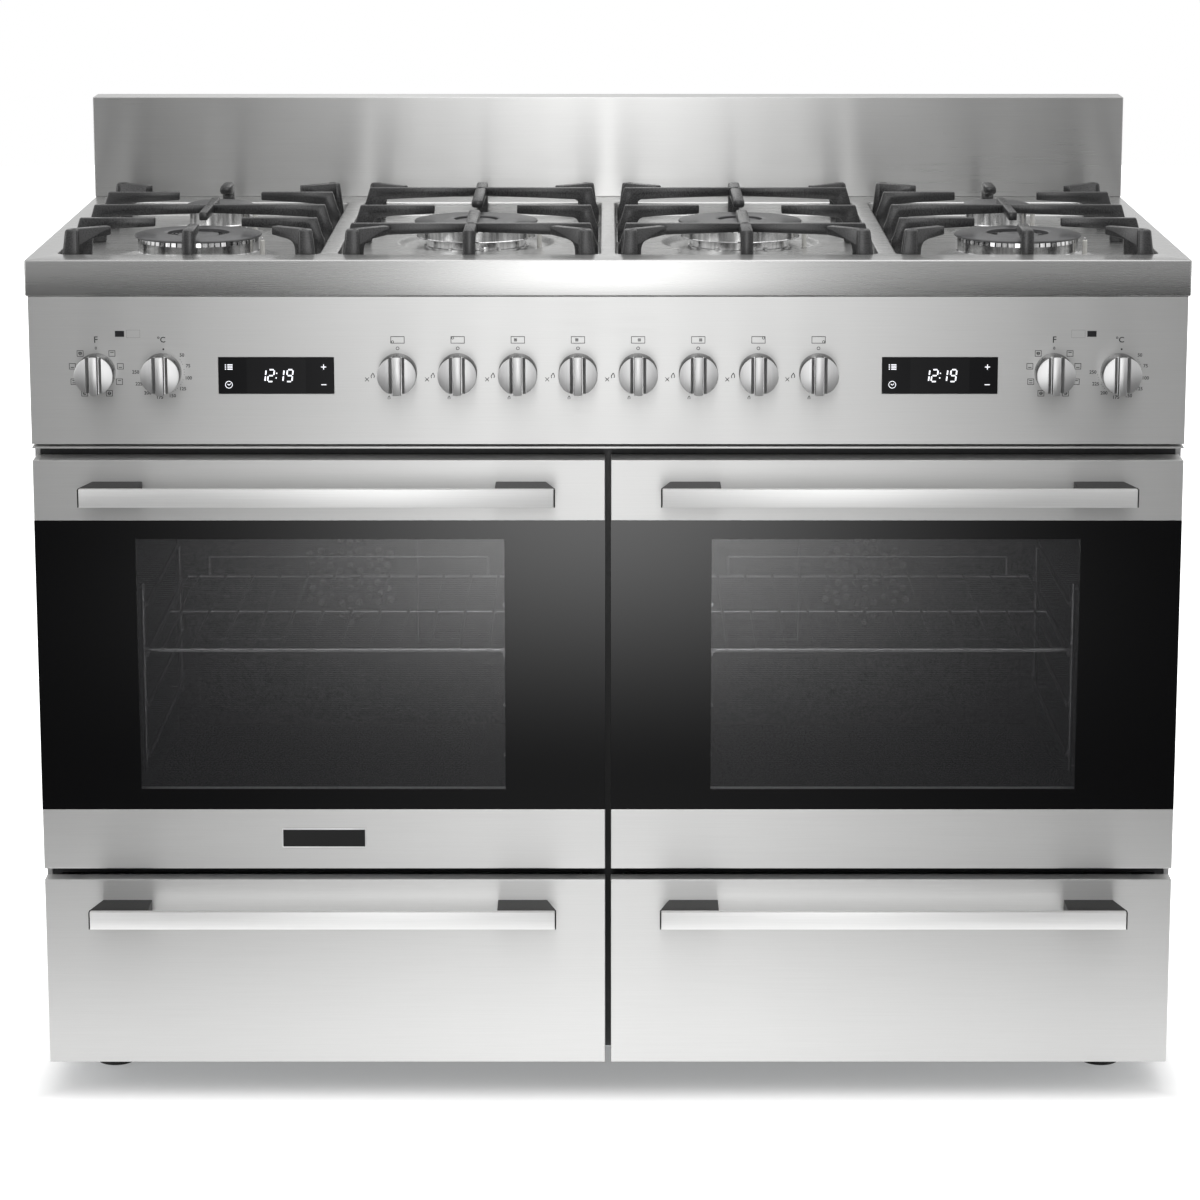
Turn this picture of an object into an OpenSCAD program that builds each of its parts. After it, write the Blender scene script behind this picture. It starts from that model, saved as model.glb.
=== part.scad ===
// Free-standing range cooker: two ovens side by side over two drawers, under a hob of six burners.
// X runs to the right, Y to the rear and Z up. The modules measure Y from the hob's front edge.

/* [Body] */
// Overall width of the hob and of the side panels
body_w = 1200; // [1100:5:1300]
// Depth from the hob's front edge to the rear panel
body_d = 600; // [580:5:700]
// Height of the hob above the floor
hob_h = 900; // [880:5:950]
// Clearance below the drawer fronts, set by the feet
foot_h = 36; // [30:1:80]
// Height of a drawer front
drawer_h = 203; // [190:1:230]
// Gap between a drawer front and the door above it
drawer_gap = 12; // [11:1:20]
// Open vent between the doors and the trim strip
vent_gap = 12; // [6:1:20]
// Height of the trim strip with the shadow line above it
trim_h = 5; // [4:0.5:8]
// Height of the control panel
panel_h = 154; // [140:1:180]
// Height of the hob's front skirt
skirt_h = 38; // [30:1:50]
// Thickness of the folded steel sheet
sheet_t = 1.5; // [1:0.1:2]
// Gap between the two doors, and between the two drawers
centre_gap = 6; // [4:0.5:10]
// How far the doors and the control panel stop short of the hob's ends
side_reveal = 3; // [1:0.5:6]
// Width of the lip on the front edge of a side panel
side_lip = 6; // [4:0.5:9]
// Height of the splashback above the hob
splash_h = 116; // [80:1:200]
// Thickness of the splashback's folded box
splash_t = 45; // [30:1:60]

/* [Doors] */
// Thickness of a door from its front glass to its rear face
door_t = 38; // [34:1:45]
// Space between a door and the oven front, filled by the seal
seal_gap = 2; // [1.5:0.1:4]
// Height of the steel band above the front glass
top_band_h = 64; // [58:1:80]
// Height of the steel band below the front glass
bottom_band_h = 65; // [58:1:80]
// Thickness of the front glass
glass_t = 4; // [3:0.5:5]
// Thickness of the inner glass
inner_glass_t = 4; // [3:0.5:5]
// Width of the clear window
window_w = 384; // [350:1:400]
// Height of the clear window
window_h = 270; // [240:1:290]
// Distance of a hinge from the side edge of its door
hinge_inset = 35; // [30:0.5:45]
// Radius of the hinge pins
hinge_pin_r = 4; // [3:0.25:5]
// Distance of the hinge axis from the door's front
hinge_y = 10; // [9:0.5:12]
// Height of the hinge axis above the door's lower edge
hinge_lift = 10; // [9:0.5:12]

/* [Handles] */
// Length of a handle bar
handle_l = 491; // [400:1:520]
// Height of a handle bar
handle_h = 19; // [14:0.5:26]
// How far a handle stands out from the front
handle_out = 44; // [36:1:60]
// Thickness of a handle bar
handle_t = 7; // [5:0.5:10]
// Length of a handle's end bracket
bracket_l = 62; // [40:1:80]
// How far a bracket's outer side slants inwards on its way to the front
bracket_slant = 10; // [0:1:16]
// Distance from the top of a door or drawer down to the middle of its handle
handle_drop = 32; // [20:1:50]

/* [Ovens] */
// Inside width of an oven
cavity_w = 410; // [400:1:440]
// Inside height of an oven
cavity_h = 345; // [330:1:350]
// Inside depth of an oven
cavity_d = 430; // [400:1:450]
// Height of the oven floor above the door's lower edge
cavity_lift = 34; // [32:1:44]
// Height of the wire shelf above the oven floor
shelf_lift = 192; // [150:1:230]
// Width over a wire shelf
shelf_w = 383; // [370:1:386]
// Depth of a wire shelf
shelf_d = 370; // [340:1:376]
// Distance from the oven's mouth to the front rod of the shelf
shelf_setback = 18; // [16:1:24]
// Height of the fan's axis above the oven floor
fan_lift = 183; // [150:1:200]
// Radius of the fan wheel
fan_r = 62; // [50:1:75]

/* [Drawers] */
// Thickness of a drawer front
drawer_t = 20; // [16:1:30]
// Distance from the side edge of a drawer front to its box
drawer_side = 27; // [25:0.5:40]
// Depth of a drawer's box
drawer_box_d = 480; // [400:1:500]
// Height of a drawer's box
drawer_box_h = 160; // [120:1:170]

/* [Controls] */
// Height of the knobs' axes above the control panel's lower edge
knob_lift = 75.5; // [60:0.5:95]
// Radius of a knob
knob_r = 20; // [16:0.5:24]
// How far a knob stands out from the panel
knob_out = 30; // [24:1:40]
// Spacing of the gas knobs
gas_pitch = 62; // [52:1:66]
// Distance of the inner oven knob from the cooker's end
near_knob_inset = 140; // [135:1:145]
// Distance of the outer oven knob from the cooker's end
far_knob_inset = 72; // [60:1:80]
// Radius of the knob spindles
spindle_r = 3; // [2.5:0.25:4]
// Width of a timer display
display_w = 119; // [90:1:125]
// Height of a timer display
display_h = 38; // [30:1:50]
// Distance of a timer display's centre from the cooker's end
display_inset = 257.5; // [250:0.5:265]

/* [Hob] */
// Width of the steel between the two inner wells
centre_rib = 17; // [12:1:30]
// Depth of a well below the hob's surface
well_drop = 16; // [12:0.5:20]
// Distance from the hob's front edge to the wells
well_front = 45; // [35:1:60]
// Front-to-back length of the wells
well_l = 456; // [448:1:470]
// Distance from the hob's end to the outer well
well_margin = 28; // [20:1:40]
// Width of the steel between the outer well and the inner one
well_divider = 19.5; // [12:0.5:21]
// Distance from a well's front edge to the front burner
front_burner_in = 105; // [100:1:112]
// Distance from a well's front edge to the rear burner
rear_burner_in = 335; // [325:1:345]
// Distance from a well's front edge to the burner in an inner well
inner_burner_in = 225; // [215:1:235]
// Height of the pan supports above the hob's surface
grate_h = 25; // [22:1:40]
// Front-to-back length of a pan support
grate_l = 440; // [430:1:444]
// Thickness of the pan supports' bars
grate_bar = 10; // [8:0.5:13]
// Radius of a large burner's cap
large_cap_r = 67.5; // [60:0.5:72]
// Radius of a small burner's cap
small_cap_r = 37; // [30:0.5:42]

/* [Hidden] */
$fn = 48;

// Clearances
slip = 0.05;      // radial play of a shaft in its bore
press = 0.02;     // radial play of a shaft in a piece that is pressed on it
play = 0.4;       // play between a moving piece and its guide
seal_play = 0.3;  // space left between a seal and a closed door
seat = 0.1;       // space between two pieces that are screwed or pressed together

// Heights, from the floor up
drawer_z = foot_h;
pan_z = foot_h + 3;
door_z = drawer_z + drawer_h + drawer_gap;
hob_z = hob_h;
panel_top = hob_z - skirt_h;
panel_z = panel_top - panel_h;
trim_z = panel_z - trim_h;
door_top = trim_z - vent_gap;
cavity_z = door_z + cavity_lift;
cavity_top = cavity_z + cavity_h;
shelf_z = cavity_z + shelf_lift;
fan_z = cavity_z + fan_lift;
knob_z = panel_z + knob_lift;
hinge_z = door_z + hinge_lift;

// Widths
door_w = body_w / 2 - centre_gap / 2 - side_reveal;
oven_x = (centre_gap + door_w) / 2;
panel_w = body_w - 2 * side_reveal;
hinge_x = door_w / 2 - hinge_inset;
drawer_box_w = door_w - 2 * drawer_side;
near_knob_x = body_w / 2 - near_knob_inset;
far_knob_x = body_w / 2 - far_knob_inset;
display_x = body_w / 2 - display_inset;

// Depths
shell_y = door_t + seal_gap;
frame_y = shell_y + sheet_t;
cavity_back = frame_y + cavity_d;
back_y = body_d - sheet_t;

// Hob layout
well_w = (body_w - 2 * well_margin - 2 * well_divider - centre_rib) / 4;
outer_well_x = body_w / 2 - well_margin - well_w / 2;
inner_well_x = outer_well_x - well_w - well_divider;
well_z = hob_z - well_drop;
floor_t = sheet_t;
front_burner_y = well_front + front_burner_in;
rear_burner_y = well_front + rear_burner_in;
inner_burner_y = well_front + inner_burner_in;

// Fans: the ring element lies round the wheel, and the cover round both
element_r = 3.25;
ring_space = 8;
cover_space = 4.75;
ring_r = fan_r + ring_space;
cover_half = ring_r + element_r + cover_space;

// Control spindles
spindle_in = 30;
tap_end = 46;
rail_size = 20;

// One solid block between two corners
module block(x, y, z) {
    translate([x[0], y[0], z[0]])
        cube([x[1] - x[0], y[1] - y[0], z[1] - z[0]]);
}

// A round bar between two points
module bar(p, q, r) {
    d = q - p;
    length = norm(d);
    translate(p)
        rotate([0, acos(d[2] / length), atan2(d[1], d[0])])
            cylinder(h = length, r = r);
}

// A bar that starts at y and runs to the rear
module rear_bar(x, y, z, length, r) {
    translate([x, y, z])
        rotate([-90, 0, 0])
            cylinder(h = length, r = r);
}

// The children, and their mirror image on the other side
module both_sides() {
    children();
    mirror([1, 0, 0])
        children();
}

// The children, moved to the middle of one oven: side is -1 for the left and 1 for the right
module at_oven(side) {
    translate([side * oven_x, 0, 0])
        children();
}

// The modules measure Y from the hob's front edge, and the part stands centred on its base
module placed() {
    translate([0, (handle_out - body_d) / 2, 0])
        children();
}

// Carcass

module body_panels() {
    color("silver") {
        both_sides() {
            block([body_w / 2 - sheet_t, body_w / 2], [shell_y, back_y], [foot_h, panel_top]);
            block([body_w / 2 - side_lip, body_w / 2], [shell_y, frame_y], [foot_h, panel_top]);
        }
        block([-sheet_t / 2, sheet_t / 2], [frame_y, back_y], [pan_z + sheet_t, trim_z]);
    }
}

slot_w = 90;
slot_h = 6;
slot_rows = 6;
slot_space = 30;
slot_pitch = 22;
slot_drop = 60;
inlet_inset = 60;
inlet_x = body_w / 2 - inlet_inset;
inlet_window = 64;
inlet_r = 10.48;
inlet_l = 25;
inlet_bore_r = 6.5;
inlet_collar = 3;
gland_inset = 90;
gland_lift = 60;
gland_x = gland_inset - body_w / 2;
gland_z = panel_z + gland_lift;
gland_r = 12;
gland_bore_r = 6.5;
gland_l = 15;
terminal_size = [110, 50, 70];
terminal_wall = 3;

module back_panel() {
    color("gainsboro") {
        difference() {
            block([-body_w / 2, body_w / 2], [back_y, body_d], [pan_z + sheet_t, panel_top]);
            for (side = [-1, 1], column = [-1, 0, 1], row = [0 : slot_rows - 1])
                translate([side * oven_x + column * (slot_w + slot_space), body_d,
                           fan_z - slot_drop + row * slot_pitch])
                    cube([slot_w, 4 * sheet_t, slot_h], center = true);
            translate([inlet_x, body_d, knob_z])
                cube([inlet_window, 4 * sheet_t, inlet_window], center = true);
            rear_bar(gland_x, back_y - 1, gland_z, sheet_t + 2, gland_r);
        }
        terminal_box();
    }
}

// The terminal box behind the rear panel, with the cable gland in its wall
module terminal_box() {
    half_w = terminal_size[0] / 2;
    half_h = terminal_size[2] / 2;
    front = back_y - seat - terminal_size[1];
    inner_w = half_w - terminal_wall;
    inner_h = half_h - terminal_wall;
    difference() {
        union() {
            block([gland_x - half_w, gland_x + half_w], [front, back_y - seat],
                  [gland_z - half_h, gland_z + half_h]);
            rear_bar(gland_x, back_y - 1, gland_z, sheet_t + 1, gland_r - seat);
        }
        block([gland_x - inner_w, gland_x + inner_w], [front + terminal_wall, back_y - gland_l],
              [gland_z - inner_h, gland_z + inner_h]);
        rear_bar(gland_x, back_y - gland_l - 1, gland_z, gland_l + sheet_t + 2, gland_bore_r);
    }
}

foot_inset_x = 60;
foot_front = 110;
foot_back = 60;
foot_stem_r = 5;
foot_pad_r = 20;
foot_pad_taper = 3;
foot_pad_h = 9;
foot_boss_r = 11;
foot_boss_h = 16;

module at_feet() {
    both_sides()
        for (y = [foot_front, body_d - foot_back])
            translate([body_w / 2 - foot_inset_x, y, 0])
                children();
}

module base_pan() {
    inner_w = body_w / 2 - sheet_t;
    color("darkgray")
        difference() {
            union() {
                block([-inner_w, inner_w], [frame_y, back_y], [pan_z, pan_z + sheet_t]);
                at_feet()
                    translate([0, 0, pan_z - foot_boss_h])
                        cylinder(h = foot_boss_h - seat, r = foot_boss_r);
            }
            at_feet()
                translate([0, 0, pan_z - foot_boss_h - 1])
                    cylinder(h = foot_boss_h + sheet_t + 2, r = foot_stem_r + slip);
        }
}

module levelling_feet() {
    color("dimgray")
        at_feet() {
            cylinder(h = foot_pad_h, r1 = foot_pad_r, r2 = foot_pad_r - foot_pad_taper);
            cylinder(h = pan_z + sheet_t, r = foot_stem_r);
        }
}

mouth_side = 14;
mouth_below = 8;
mouth_above = 4;
drawer_mouth = drawer_box_w / 2 + mouth_side;
ear_t = 8;
ear_r = 6;

// The enamelled front of the carcass, with the ears that carry the door hinges
module front_frame() {
    inner_w = body_w / 2 - side_lip - play;
    through = [shell_y - 1, frame_y + 1];
    color("dimgray")
        difference() {
            union() {
                block([-inner_w, inner_w], [shell_y, frame_y], [pan_z + sheet_t, panel_z - play]);
                for (side = [-1, 1], end = [-1, 1])
                    translate([side * oven_x + end * hinge_x, 0, hinge_z])
                        hinge_ear();
            }
            for (side = [-1, 1]) {
                block([side * oven_x - cavity_w / 2, side * oven_x + cavity_w / 2], through,
                      [cavity_z, cavity_top]);
                block([side * oven_x - drawer_mouth, side * oven_x + drawer_mouth], through,
                      [drawer_z + mouth_below, drawer_z + drawer_h - mouth_above]);
            }
        }
}

module hinge_ear() {
    difference() {
        union() {
            block([-ear_t / 2, ear_t / 2], [hinge_y, shell_y + sheet_t / 2], [-ear_r, ear_r]);
            translate([-ear_t / 2, hinge_y, 0])
                rotate([0, 90, 0])
                    cylinder(h = ear_t, r = ear_r);
        }
        translate([-ear_t / 2 - 1, hinge_y, 0])
            rotate([0, 90, 0])
                cylinder(h = ear_t + 2, r = hinge_pin_r + slip);
    }
}

// Hob

module at_wells() {
    both_sides()
        for (x = [inner_well_x, outer_well_x])
            translate([x, well_front, 0])
                children();
}

// Places the children at each large burner and at each small one
module at_large_burners() {
    for (side = [-1, 1]) {
        translate([side * outer_well_x, front_burner_y, well_z])
            children();
        translate([side * inner_well_x, inner_burner_y, well_z])
            children();
    }
}

module at_small_burners() {
    for (side = [-1, 1])
        translate([side * outer_well_x, rear_burner_y, well_z])
            children();
}

grate_play = 2;
leg_l = 13;
large_cup_r = 38;
small_cup_r = 21;
dish_h = 4;
dish_space = 9;
large_dish_r = front_burner_in - grate_play - leg_l - dish_space;
small_dish_r = 55;

// The hob's skirt: a strip at the front, one at the rear and one on each side
module hob_skirt() {
    z = [panel_top, hob_z - sheet_t - seat];
    block([-body_w / 2, body_w / 2], [0, sheet_t], z);
    block([-body_w / 2, body_w / 2], [body_d - sheet_t, body_d], z);
    both_sides()
        block([body_w / 2 - sheet_t, body_w / 2], [sheet_t + seat, body_d - sheet_t - seat], z);
}

// The space in a dip round a burner, or the sheet that the dip is pressed in
module dish(r, wall = 0) {
    translate([0, 0, -dish_h - wall])
        cylinder(h = dish_h + 1, r = r + wall);
}

module hob_top() {
    color("silver") {
        hob_skirt();
        difference() {
            union() {
                block([-body_w / 2, body_w / 2], [0, body_d], [hob_z - sheet_t, hob_z]);
                at_wells()
                    block([-well_w / 2 - sheet_t, well_w / 2 + sheet_t],
                          [-sheet_t, well_l + sheet_t], [well_z - floor_t, hob_z - sheet_t / 2]);
                at_large_burners()
                    dish(large_dish_r, floor_t);
                at_small_burners()
                    dish(small_dish_r, floor_t);
            }
            at_wells()
                block([-well_w / 2, well_w / 2], [0, well_l], [well_z, hob_z + 1]);
            at_large_burners()
                dish(large_dish_r);
            at_small_burners()
                dish(small_dish_r);
            at_large_burners()
                cylinder(h = 4 * well_drop, r = large_cup_r + slip, center = true);
            at_small_burners()
                cylinder(h = 4 * well_drop, r = small_cup_r + slip, center = true);
        }
    }
}

module splashback() {
    front = body_d - splash_t;
    color("silver")
        difference() {
            block([-body_w / 2, body_w / 2], [front, body_d], [hob_z, hob_z + splash_h]);
            block([sheet_t - body_w / 2, body_w / 2 - sheet_t], [front + sheet_t, body_d - sheet_t],
                  [hob_z - 1, hob_z + splash_h - sheet_t]);
        }
}

cup_h = 24;
cup_flange = 12;
large_base_r = 55;
small_base_r = 30;
spreader_z = 6.5;
large_spreader_h = 15.5;
small_spreader_h = 20.5;
cap_t = 4;
cap_slope = 4;
small_cap_slope = 8;
flange_t = 2;
electrode_r = 1;
electrode_sleeve_r = 2.6;
electrode_tip = 3;
electrode_space = 4.5;
electrode_turn = -15;
electrode_drop = 2;
arm_w = 4;
arm_t = 1.5;
port_w = 2;
port_l = 8;
port_h = 4.5;
crown_t = 11;
crown_in = 3;
spreader_t = 3;
inner_crown_r = 22;
outer_opening_r = 33;
inner_opening_r = 24;
large_slots = 24;
small_slots = 16;

// The cup under the hob that mixes the gas, its base in the dip, and the spark electrode
module burner_cup(r, base_r, cap_r, crown_h) {
    pin_x = cap_r + electrode_space;
    sleeve_h = dish_h + spreader_z + crown_h - electrode_drop;
    translate([0, 0, spreader_z - cup_h])
        cylinder(h = cup_h, r = r);
    translate([0, 0, -dish_h])
        cylinder(h = dish_h + spreader_z, r = base_r);
    translate([0, 0, -dish_h - floor_t - flange_t])
        cylinder(h = flange_t, r = r + cup_flange);
    rotate(electrode_turn)
        translate([pin_x, 0, -dish_h]) {
            cylinder(h = sleeve_h, r = electrode_sleeve_r);
            cylinder(h = sleeve_h + electrode_tip, r = electrode_r);
            translate([-pin_x, -arm_w / 2, 0])
                cube([pin_x, arm_w, arm_t]);
        }
}

module burner_cups() {
    color("lightgray") {
        at_large_burners()
            burner_cup(large_cup_r, large_base_r, large_cap_r, large_spreader_h);
        at_small_burners()
            burner_cup(small_cup_r, small_base_r, small_cap_r, small_spreader_h);
    }
}

// A ring with slots through its rim, seen under the cap as the row of flame ports
module crown(r, h, slots) {
    difference() {
        cylinder(h = h, r = r);
        translate([0, 0, -1])
            cylinder(h = h + 2, r = r - crown_t);
        for (i = [0 : slots - 1])
            rotate(i * 360 / slots)
                translate([r - port_l, -port_w / 2, h - port_h])
                    cube([port_l + 1, port_w, port_h + 1]);
    }
}

module flame_spreaders() {
    color("gainsboro") {
        at_large_burners()
            translate([0, 0, spreader_z]) {
                crown(large_cap_r - crown_in, large_spreader_h, large_slots);
                crown(inner_crown_r - 1, large_spreader_h, small_slots);
                cylinder(h = spreader_t, r = large_cap_r - crown_in - port_l);
            }
        at_small_burners()
            translate([0, 0, spreader_z]) {
                crown(small_cap_r - crown_in, small_spreader_h, small_slots);
                cylinder(h = spreader_t, r = small_cap_r - crown_in - port_l);
            }
    }
}

module ring_cap(opening_r) {
    difference() {
        union() {
            cylinder(h = cap_t / 2, r = large_cap_r);
            translate([0, 0, cap_t / 2])
                cylinder(h = cap_t / 2, r1 = large_cap_r, r2 = large_cap_r - cap_slope);
        }
        translate([0, 0, -1])
            cylinder(h = cap_t + 2, r = opening_r);
    }
    cylinder(h = cap_t - 1, r = inner_crown_r);
}

module burner_caps() {
    large_z = well_z + spreader_z + large_spreader_h;
    small_z = well_z + spreader_z + small_spreader_h;
    color([0.25, 0.25, 0.26])
        both_sides() {
            translate([outer_well_x, front_burner_y, large_z])
                ring_cap(outer_opening_r);
            translate([inner_well_x, inner_burner_y, large_z])
                ring_cap(inner_opening_r);
            translate([outer_well_x, rear_burner_y, small_z]) {
                cylinder(h = cap_t / 2, r = small_cap_r);
                translate([0, 0, cap_t / 2])
                    cylinder(h = cap_t / 2 + 1, r1 = small_cap_r,
                             r2 = small_cap_r - small_cap_slope);
            }
        }
}

// Pan supports

grate_flare = 8;
grate_w = well_w - 2 * grate_play;
grate_top_w = grate_w - 2 * grate_flare;
grate_y = grate_play;
rail_h = 12;
rail_lift = 8;
tip_t = 9;
grate_base = well_z - hob_z + play;
corner_inset = [3, 8];
corner_l = 47;
corner_turn = 39;
corner_flare = 6;
corner_lift = 1;
post_x = [3, 20];
post_y = [1, 15];
leg_h = 6;
leg_taper = 4;
flame_space = 46;
inner_flame_space = 45;

// A finger that runs from its leg at the frame to a thin tip, drawn along X
module finger(length, flare, base = grate_base) {
    translate([0, grate_bar / 2, 0])
        rotate([90, 0, 0])
            linear_extrude(height = grate_bar)
                polygon([
                    [-flare, base], [leg_l, base], [leg_l + leg_taper, leg_h],
                    [length * 0.3 + 8, grate_h - tip_t - 3], [length, grate_h - tip_t],
                    [length, grate_h - 1], [length - 3, grate_h], [1, grate_h], [0, grate_h - 2]
                ]);
}

// A bar across the whole width, on a leg at each end
module cross_bar() {
    half = grate_top_w / 2;
    for (side = [-1, 1])
        scale([side, 1, 1])
            translate([-half, 0, 0])
                finger(half, grate_flare);
}

module side_fingers(reach) {
    for (side = [-1, 1])
        scale([side, 1, 1])
            translate([-grate_top_w / 2, 0, 0])
                finger(grate_top_w / 2 - reach, grate_flare);
}

module corner_fingers() {
    front = grate_y + corner_inset[1];
    back = grate_y + grate_l - corner_inset[1];
    for (side = [-1, 1], end = [0, 1])
        scale([side, 1, 1])
            translate([corner_inset[0] - grate_top_w / 2, end == 0 ? front : back, 0])
                rotate(end == 0 ? corner_turn : -corner_turn)
                    finger(corner_l, corner_flare, grate_base + corner_lift);
}

// The square legs at the four corners
module corner_posts() {
    half = grate_w / 2;
    front = grate_y + post_y[0];
    back = grate_y + grate_l - post_y[1];
    for (side = [-1, 1], y = [front, back])
        scale([side, 1, 1])
            block([half - post_x[1], half - post_x[0]], [y, y + post_y[1] - post_y[0]],
                  [grate_base + corner_lift / 2, grate_h - corner_lift]);
}

module grate_rails() {
    low = grate_base + rail_lift;
    top = low + rail_h;
    difference() {
        block([-grate_w / 2, grate_w / 2], [grate_y, grate_y + grate_l], [low, top]);
        block([leg_l - grate_w / 2, grate_w / 2 - leg_l],
              [grate_y + grate_bar, grate_y + grate_l - grate_bar], [low - 1, top + 1]);
    }
}

// Outer support: fingers round the front and the rear burner, and one bar across the middle
module outer_grate() {
    mid_y = (front_burner_in + rear_burner_in) / 2 + 5;
    tie_front = front_burner_in + flame_space + 4;
    tie_back = rear_burner_in - flame_space + 2;
    grate_rails();
    corner_posts();
    corner_fingers();
    translate([0, front_burner_in + 3, 0])
        side_fingers(flame_space);
    translate([0, mid_y, 0])
        cross_bar();
    translate([0, rear_burner_in + 8, 0])
        side_fingers(flame_space);
    translate([0, grate_y, 0])
        rotate(90)
            finger(front_burner_in - flame_space + 1 - grate_y, 0);
    translate([0, grate_y + grate_l, 0])
        rotate(-90)
            finger(grate_y + grate_l - rear_burner_in - flame_space - 15, 0);
    block([-grate_bar / 2, grate_bar / 2], [tie_front, tie_back], [grate_h - tip_t, grate_h]);
}

// Inner support: two bars across, and long fingers over the one large burner
module inner_grate() {
    bar_inset = 60;
    grate_rails();
    corner_posts();
    corner_fingers();
    for (y = [grate_y + bar_inset, grate_y + grate_l - bar_inset + 4])
        translate([0, y, 0])
            cross_bar();
    translate([0, inner_burner_in - 5, 0])
        side_fingers(inner_flame_space);
    translate([0, grate_y, 0])
        rotate(90)
            finger(inner_burner_in - inner_flame_space - grate_y, 0);
    translate([0, grate_y + grate_l, 0])
        rotate(-90)
            finger(grate_y + grate_l - inner_burner_in - inner_flame_space + 4, 0);
}

module grate(x, outer) {
    color([0.2, 0.2, 0.21])
        translate([x, well_front, hob_z])
            if (outer)
                outer_grate();
            else
                inner_grate();
}

// Controls

display_t = 26;
display_fit = 0.2;
display_drop = 3.5;
display_proud = 0.5;
display_margin = 4;
trim_in = 2;
trim_t = 2;
spindle_hole_r = 7;
knob_gap = 1;
oven_knob_xs = [-far_knob_x, -near_knob_x, near_knob_x, far_knob_x];
control_xs = concat([for (i = [1 : 8]) gas_x(i)], oven_knob_xs);

// The gas knobs are numbered from the left
function gas_x(number) = (number - 4.5) * gas_pitch;

// The panel's front, the two flanges and the two ends behind it, and the trim strip below it
module control_panel() {
    flange_y = [sheet_t + seat, shell_y - play];
    window = [display_w + 2 * display_fit, 4 * sheet_t, display_h + 2 * display_fit];
    color("silver") {
        difference() {
            block([-panel_w / 2, panel_w / 2], [0, sheet_t], [panel_z, panel_top]);
            for (x = control_xs)
                rear_bar(x, -1, knob_z, sheet_t + 2, spindle_hole_r);
            for (side = [-1, 1])
                translate([side * display_x, 0, knob_z - display_drop])
                    cube(window, center = true);
        }
        block([-panel_w / 2, panel_w / 2], flange_y, [panel_z, panel_z + sheet_t]);
        block([-panel_w / 2, panel_w / 2], flange_y, [panel_top - sheet_t, panel_top]);
        both_sides()
            block([panel_w / 2 - sheet_t, panel_w / 2], flange_y,
                  [panel_z + sheet_t + seat, panel_top - sheet_t - seat]);
        block([-panel_w / 2, panel_w / 2], [trim_in, shell_y], [trim_z, trim_z + trim_t]);
    }
}

module timer_displays() {
    rear = [display_w + 2 * display_margin, display_t, display_h + 2 * display_margin];
    color([0.05, 0.05, 0.06])
        for (side = [-1, 1])
            translate([side * display_x, 0, knob_z - display_drop]) {
                translate([0, (sheet_t - display_proud) / 2, 0])
                    cube([display_w, sheet_t + display_proud, display_h], center = true);
                translate([0, sheet_t + display_t / 2, 0])
                    cube(rear, center = true);
            }
}

// A grip: a round body with a ridge across its face, on its spindle
module knob(x) {
    groove = 2;
    ridge_w = 8;
    cheek_out = knob_out - 4;
    spindle_out = knob_out - 12;
    color("silver")
        translate([x, 0, knob_z])
            rotate([90, 0, 0]) {
                difference() {
                    union() {
                        translate([0, 0, knob_gap])
                            cylinder(h = cheek_out - knob_gap, r1 = knob_r + 0.5, r2 = knob_r);
                        intersection() {
                            translate([-ridge_w / 2, -knob_r, knob_gap])
                                cube([ridge_w, 2 * knob_r, knob_out - knob_gap]);
                            cylinder(h = knob_out, r = knob_r);
                        }
                    }
                    for (side = [-1, 1])
                        translate([side * (ridge_w + groove) / 2, 0, cheek_out])
                            cube([groove, 3 * knob_r, 6], center = true);
                    cylinder(h = spindle_out + seat, r = spindle_r + press);
                }
                translate([0, 0, -spindle_in])
                    cylinder(h = spindle_in + spindle_out, r = spindle_r);
            }
}

tap_r = 11;
outlet_y = 27;
outlet_r = 5;
outlet_l = 11;
switch_size = [44, 38, 40];

module gas_taps() {
    color("darkgoldenrod")
        for (number = [1 : 8])
            translate([gas_x(number), 0, knob_z]) {
                difference() {
                    union() {
                        rear_bar(0, sheet_t, 0, tap_end - sheet_t, tap_r);
                        translate([0, outlet_y, 0])
                            cylinder(h = tap_r + outlet_l, r = outlet_r);
                    }
                    rear_bar(0, 0, 0, spindle_in + 1, spindle_r + slip);
                }
            }
}

module oven_switches() {
    color("gainsboro")
        for (x = oven_knob_xs)
            difference() {
                translate([x, sheet_t + switch_size[1] / 2, knob_z])
                    cube(switch_size, center = true);
                rear_bar(x, 0, knob_z, spindle_in + 1, spindle_r + slip);
            }
}

pipe_r = 4;
pipe_drop = 17;
pipe_z = panel_top - pipe_drop;
jet_x = 20;
rail_wall = 2.5;
inlet_pipe_r = 8;

// The pipe from a tap to its burner: up, across under the hob, and up into the burner's cup
module supply_pipe(number, x, y, z) {
    start = [gas_x(number), outlet_y, knob_z + tap_r + outlet_l];
    turn = [gas_x(number), outlet_y, pipe_z];
    below = [x, y, pipe_z];
    bar(start, turn, pipe_r);
    bar(turn, below, pipe_r);
    bar(below, [x, y, z], pipe_r);
    for (corner = [turn, below])
        translate(corner)
            sphere(r = pipe_r + 0.5);
}

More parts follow.
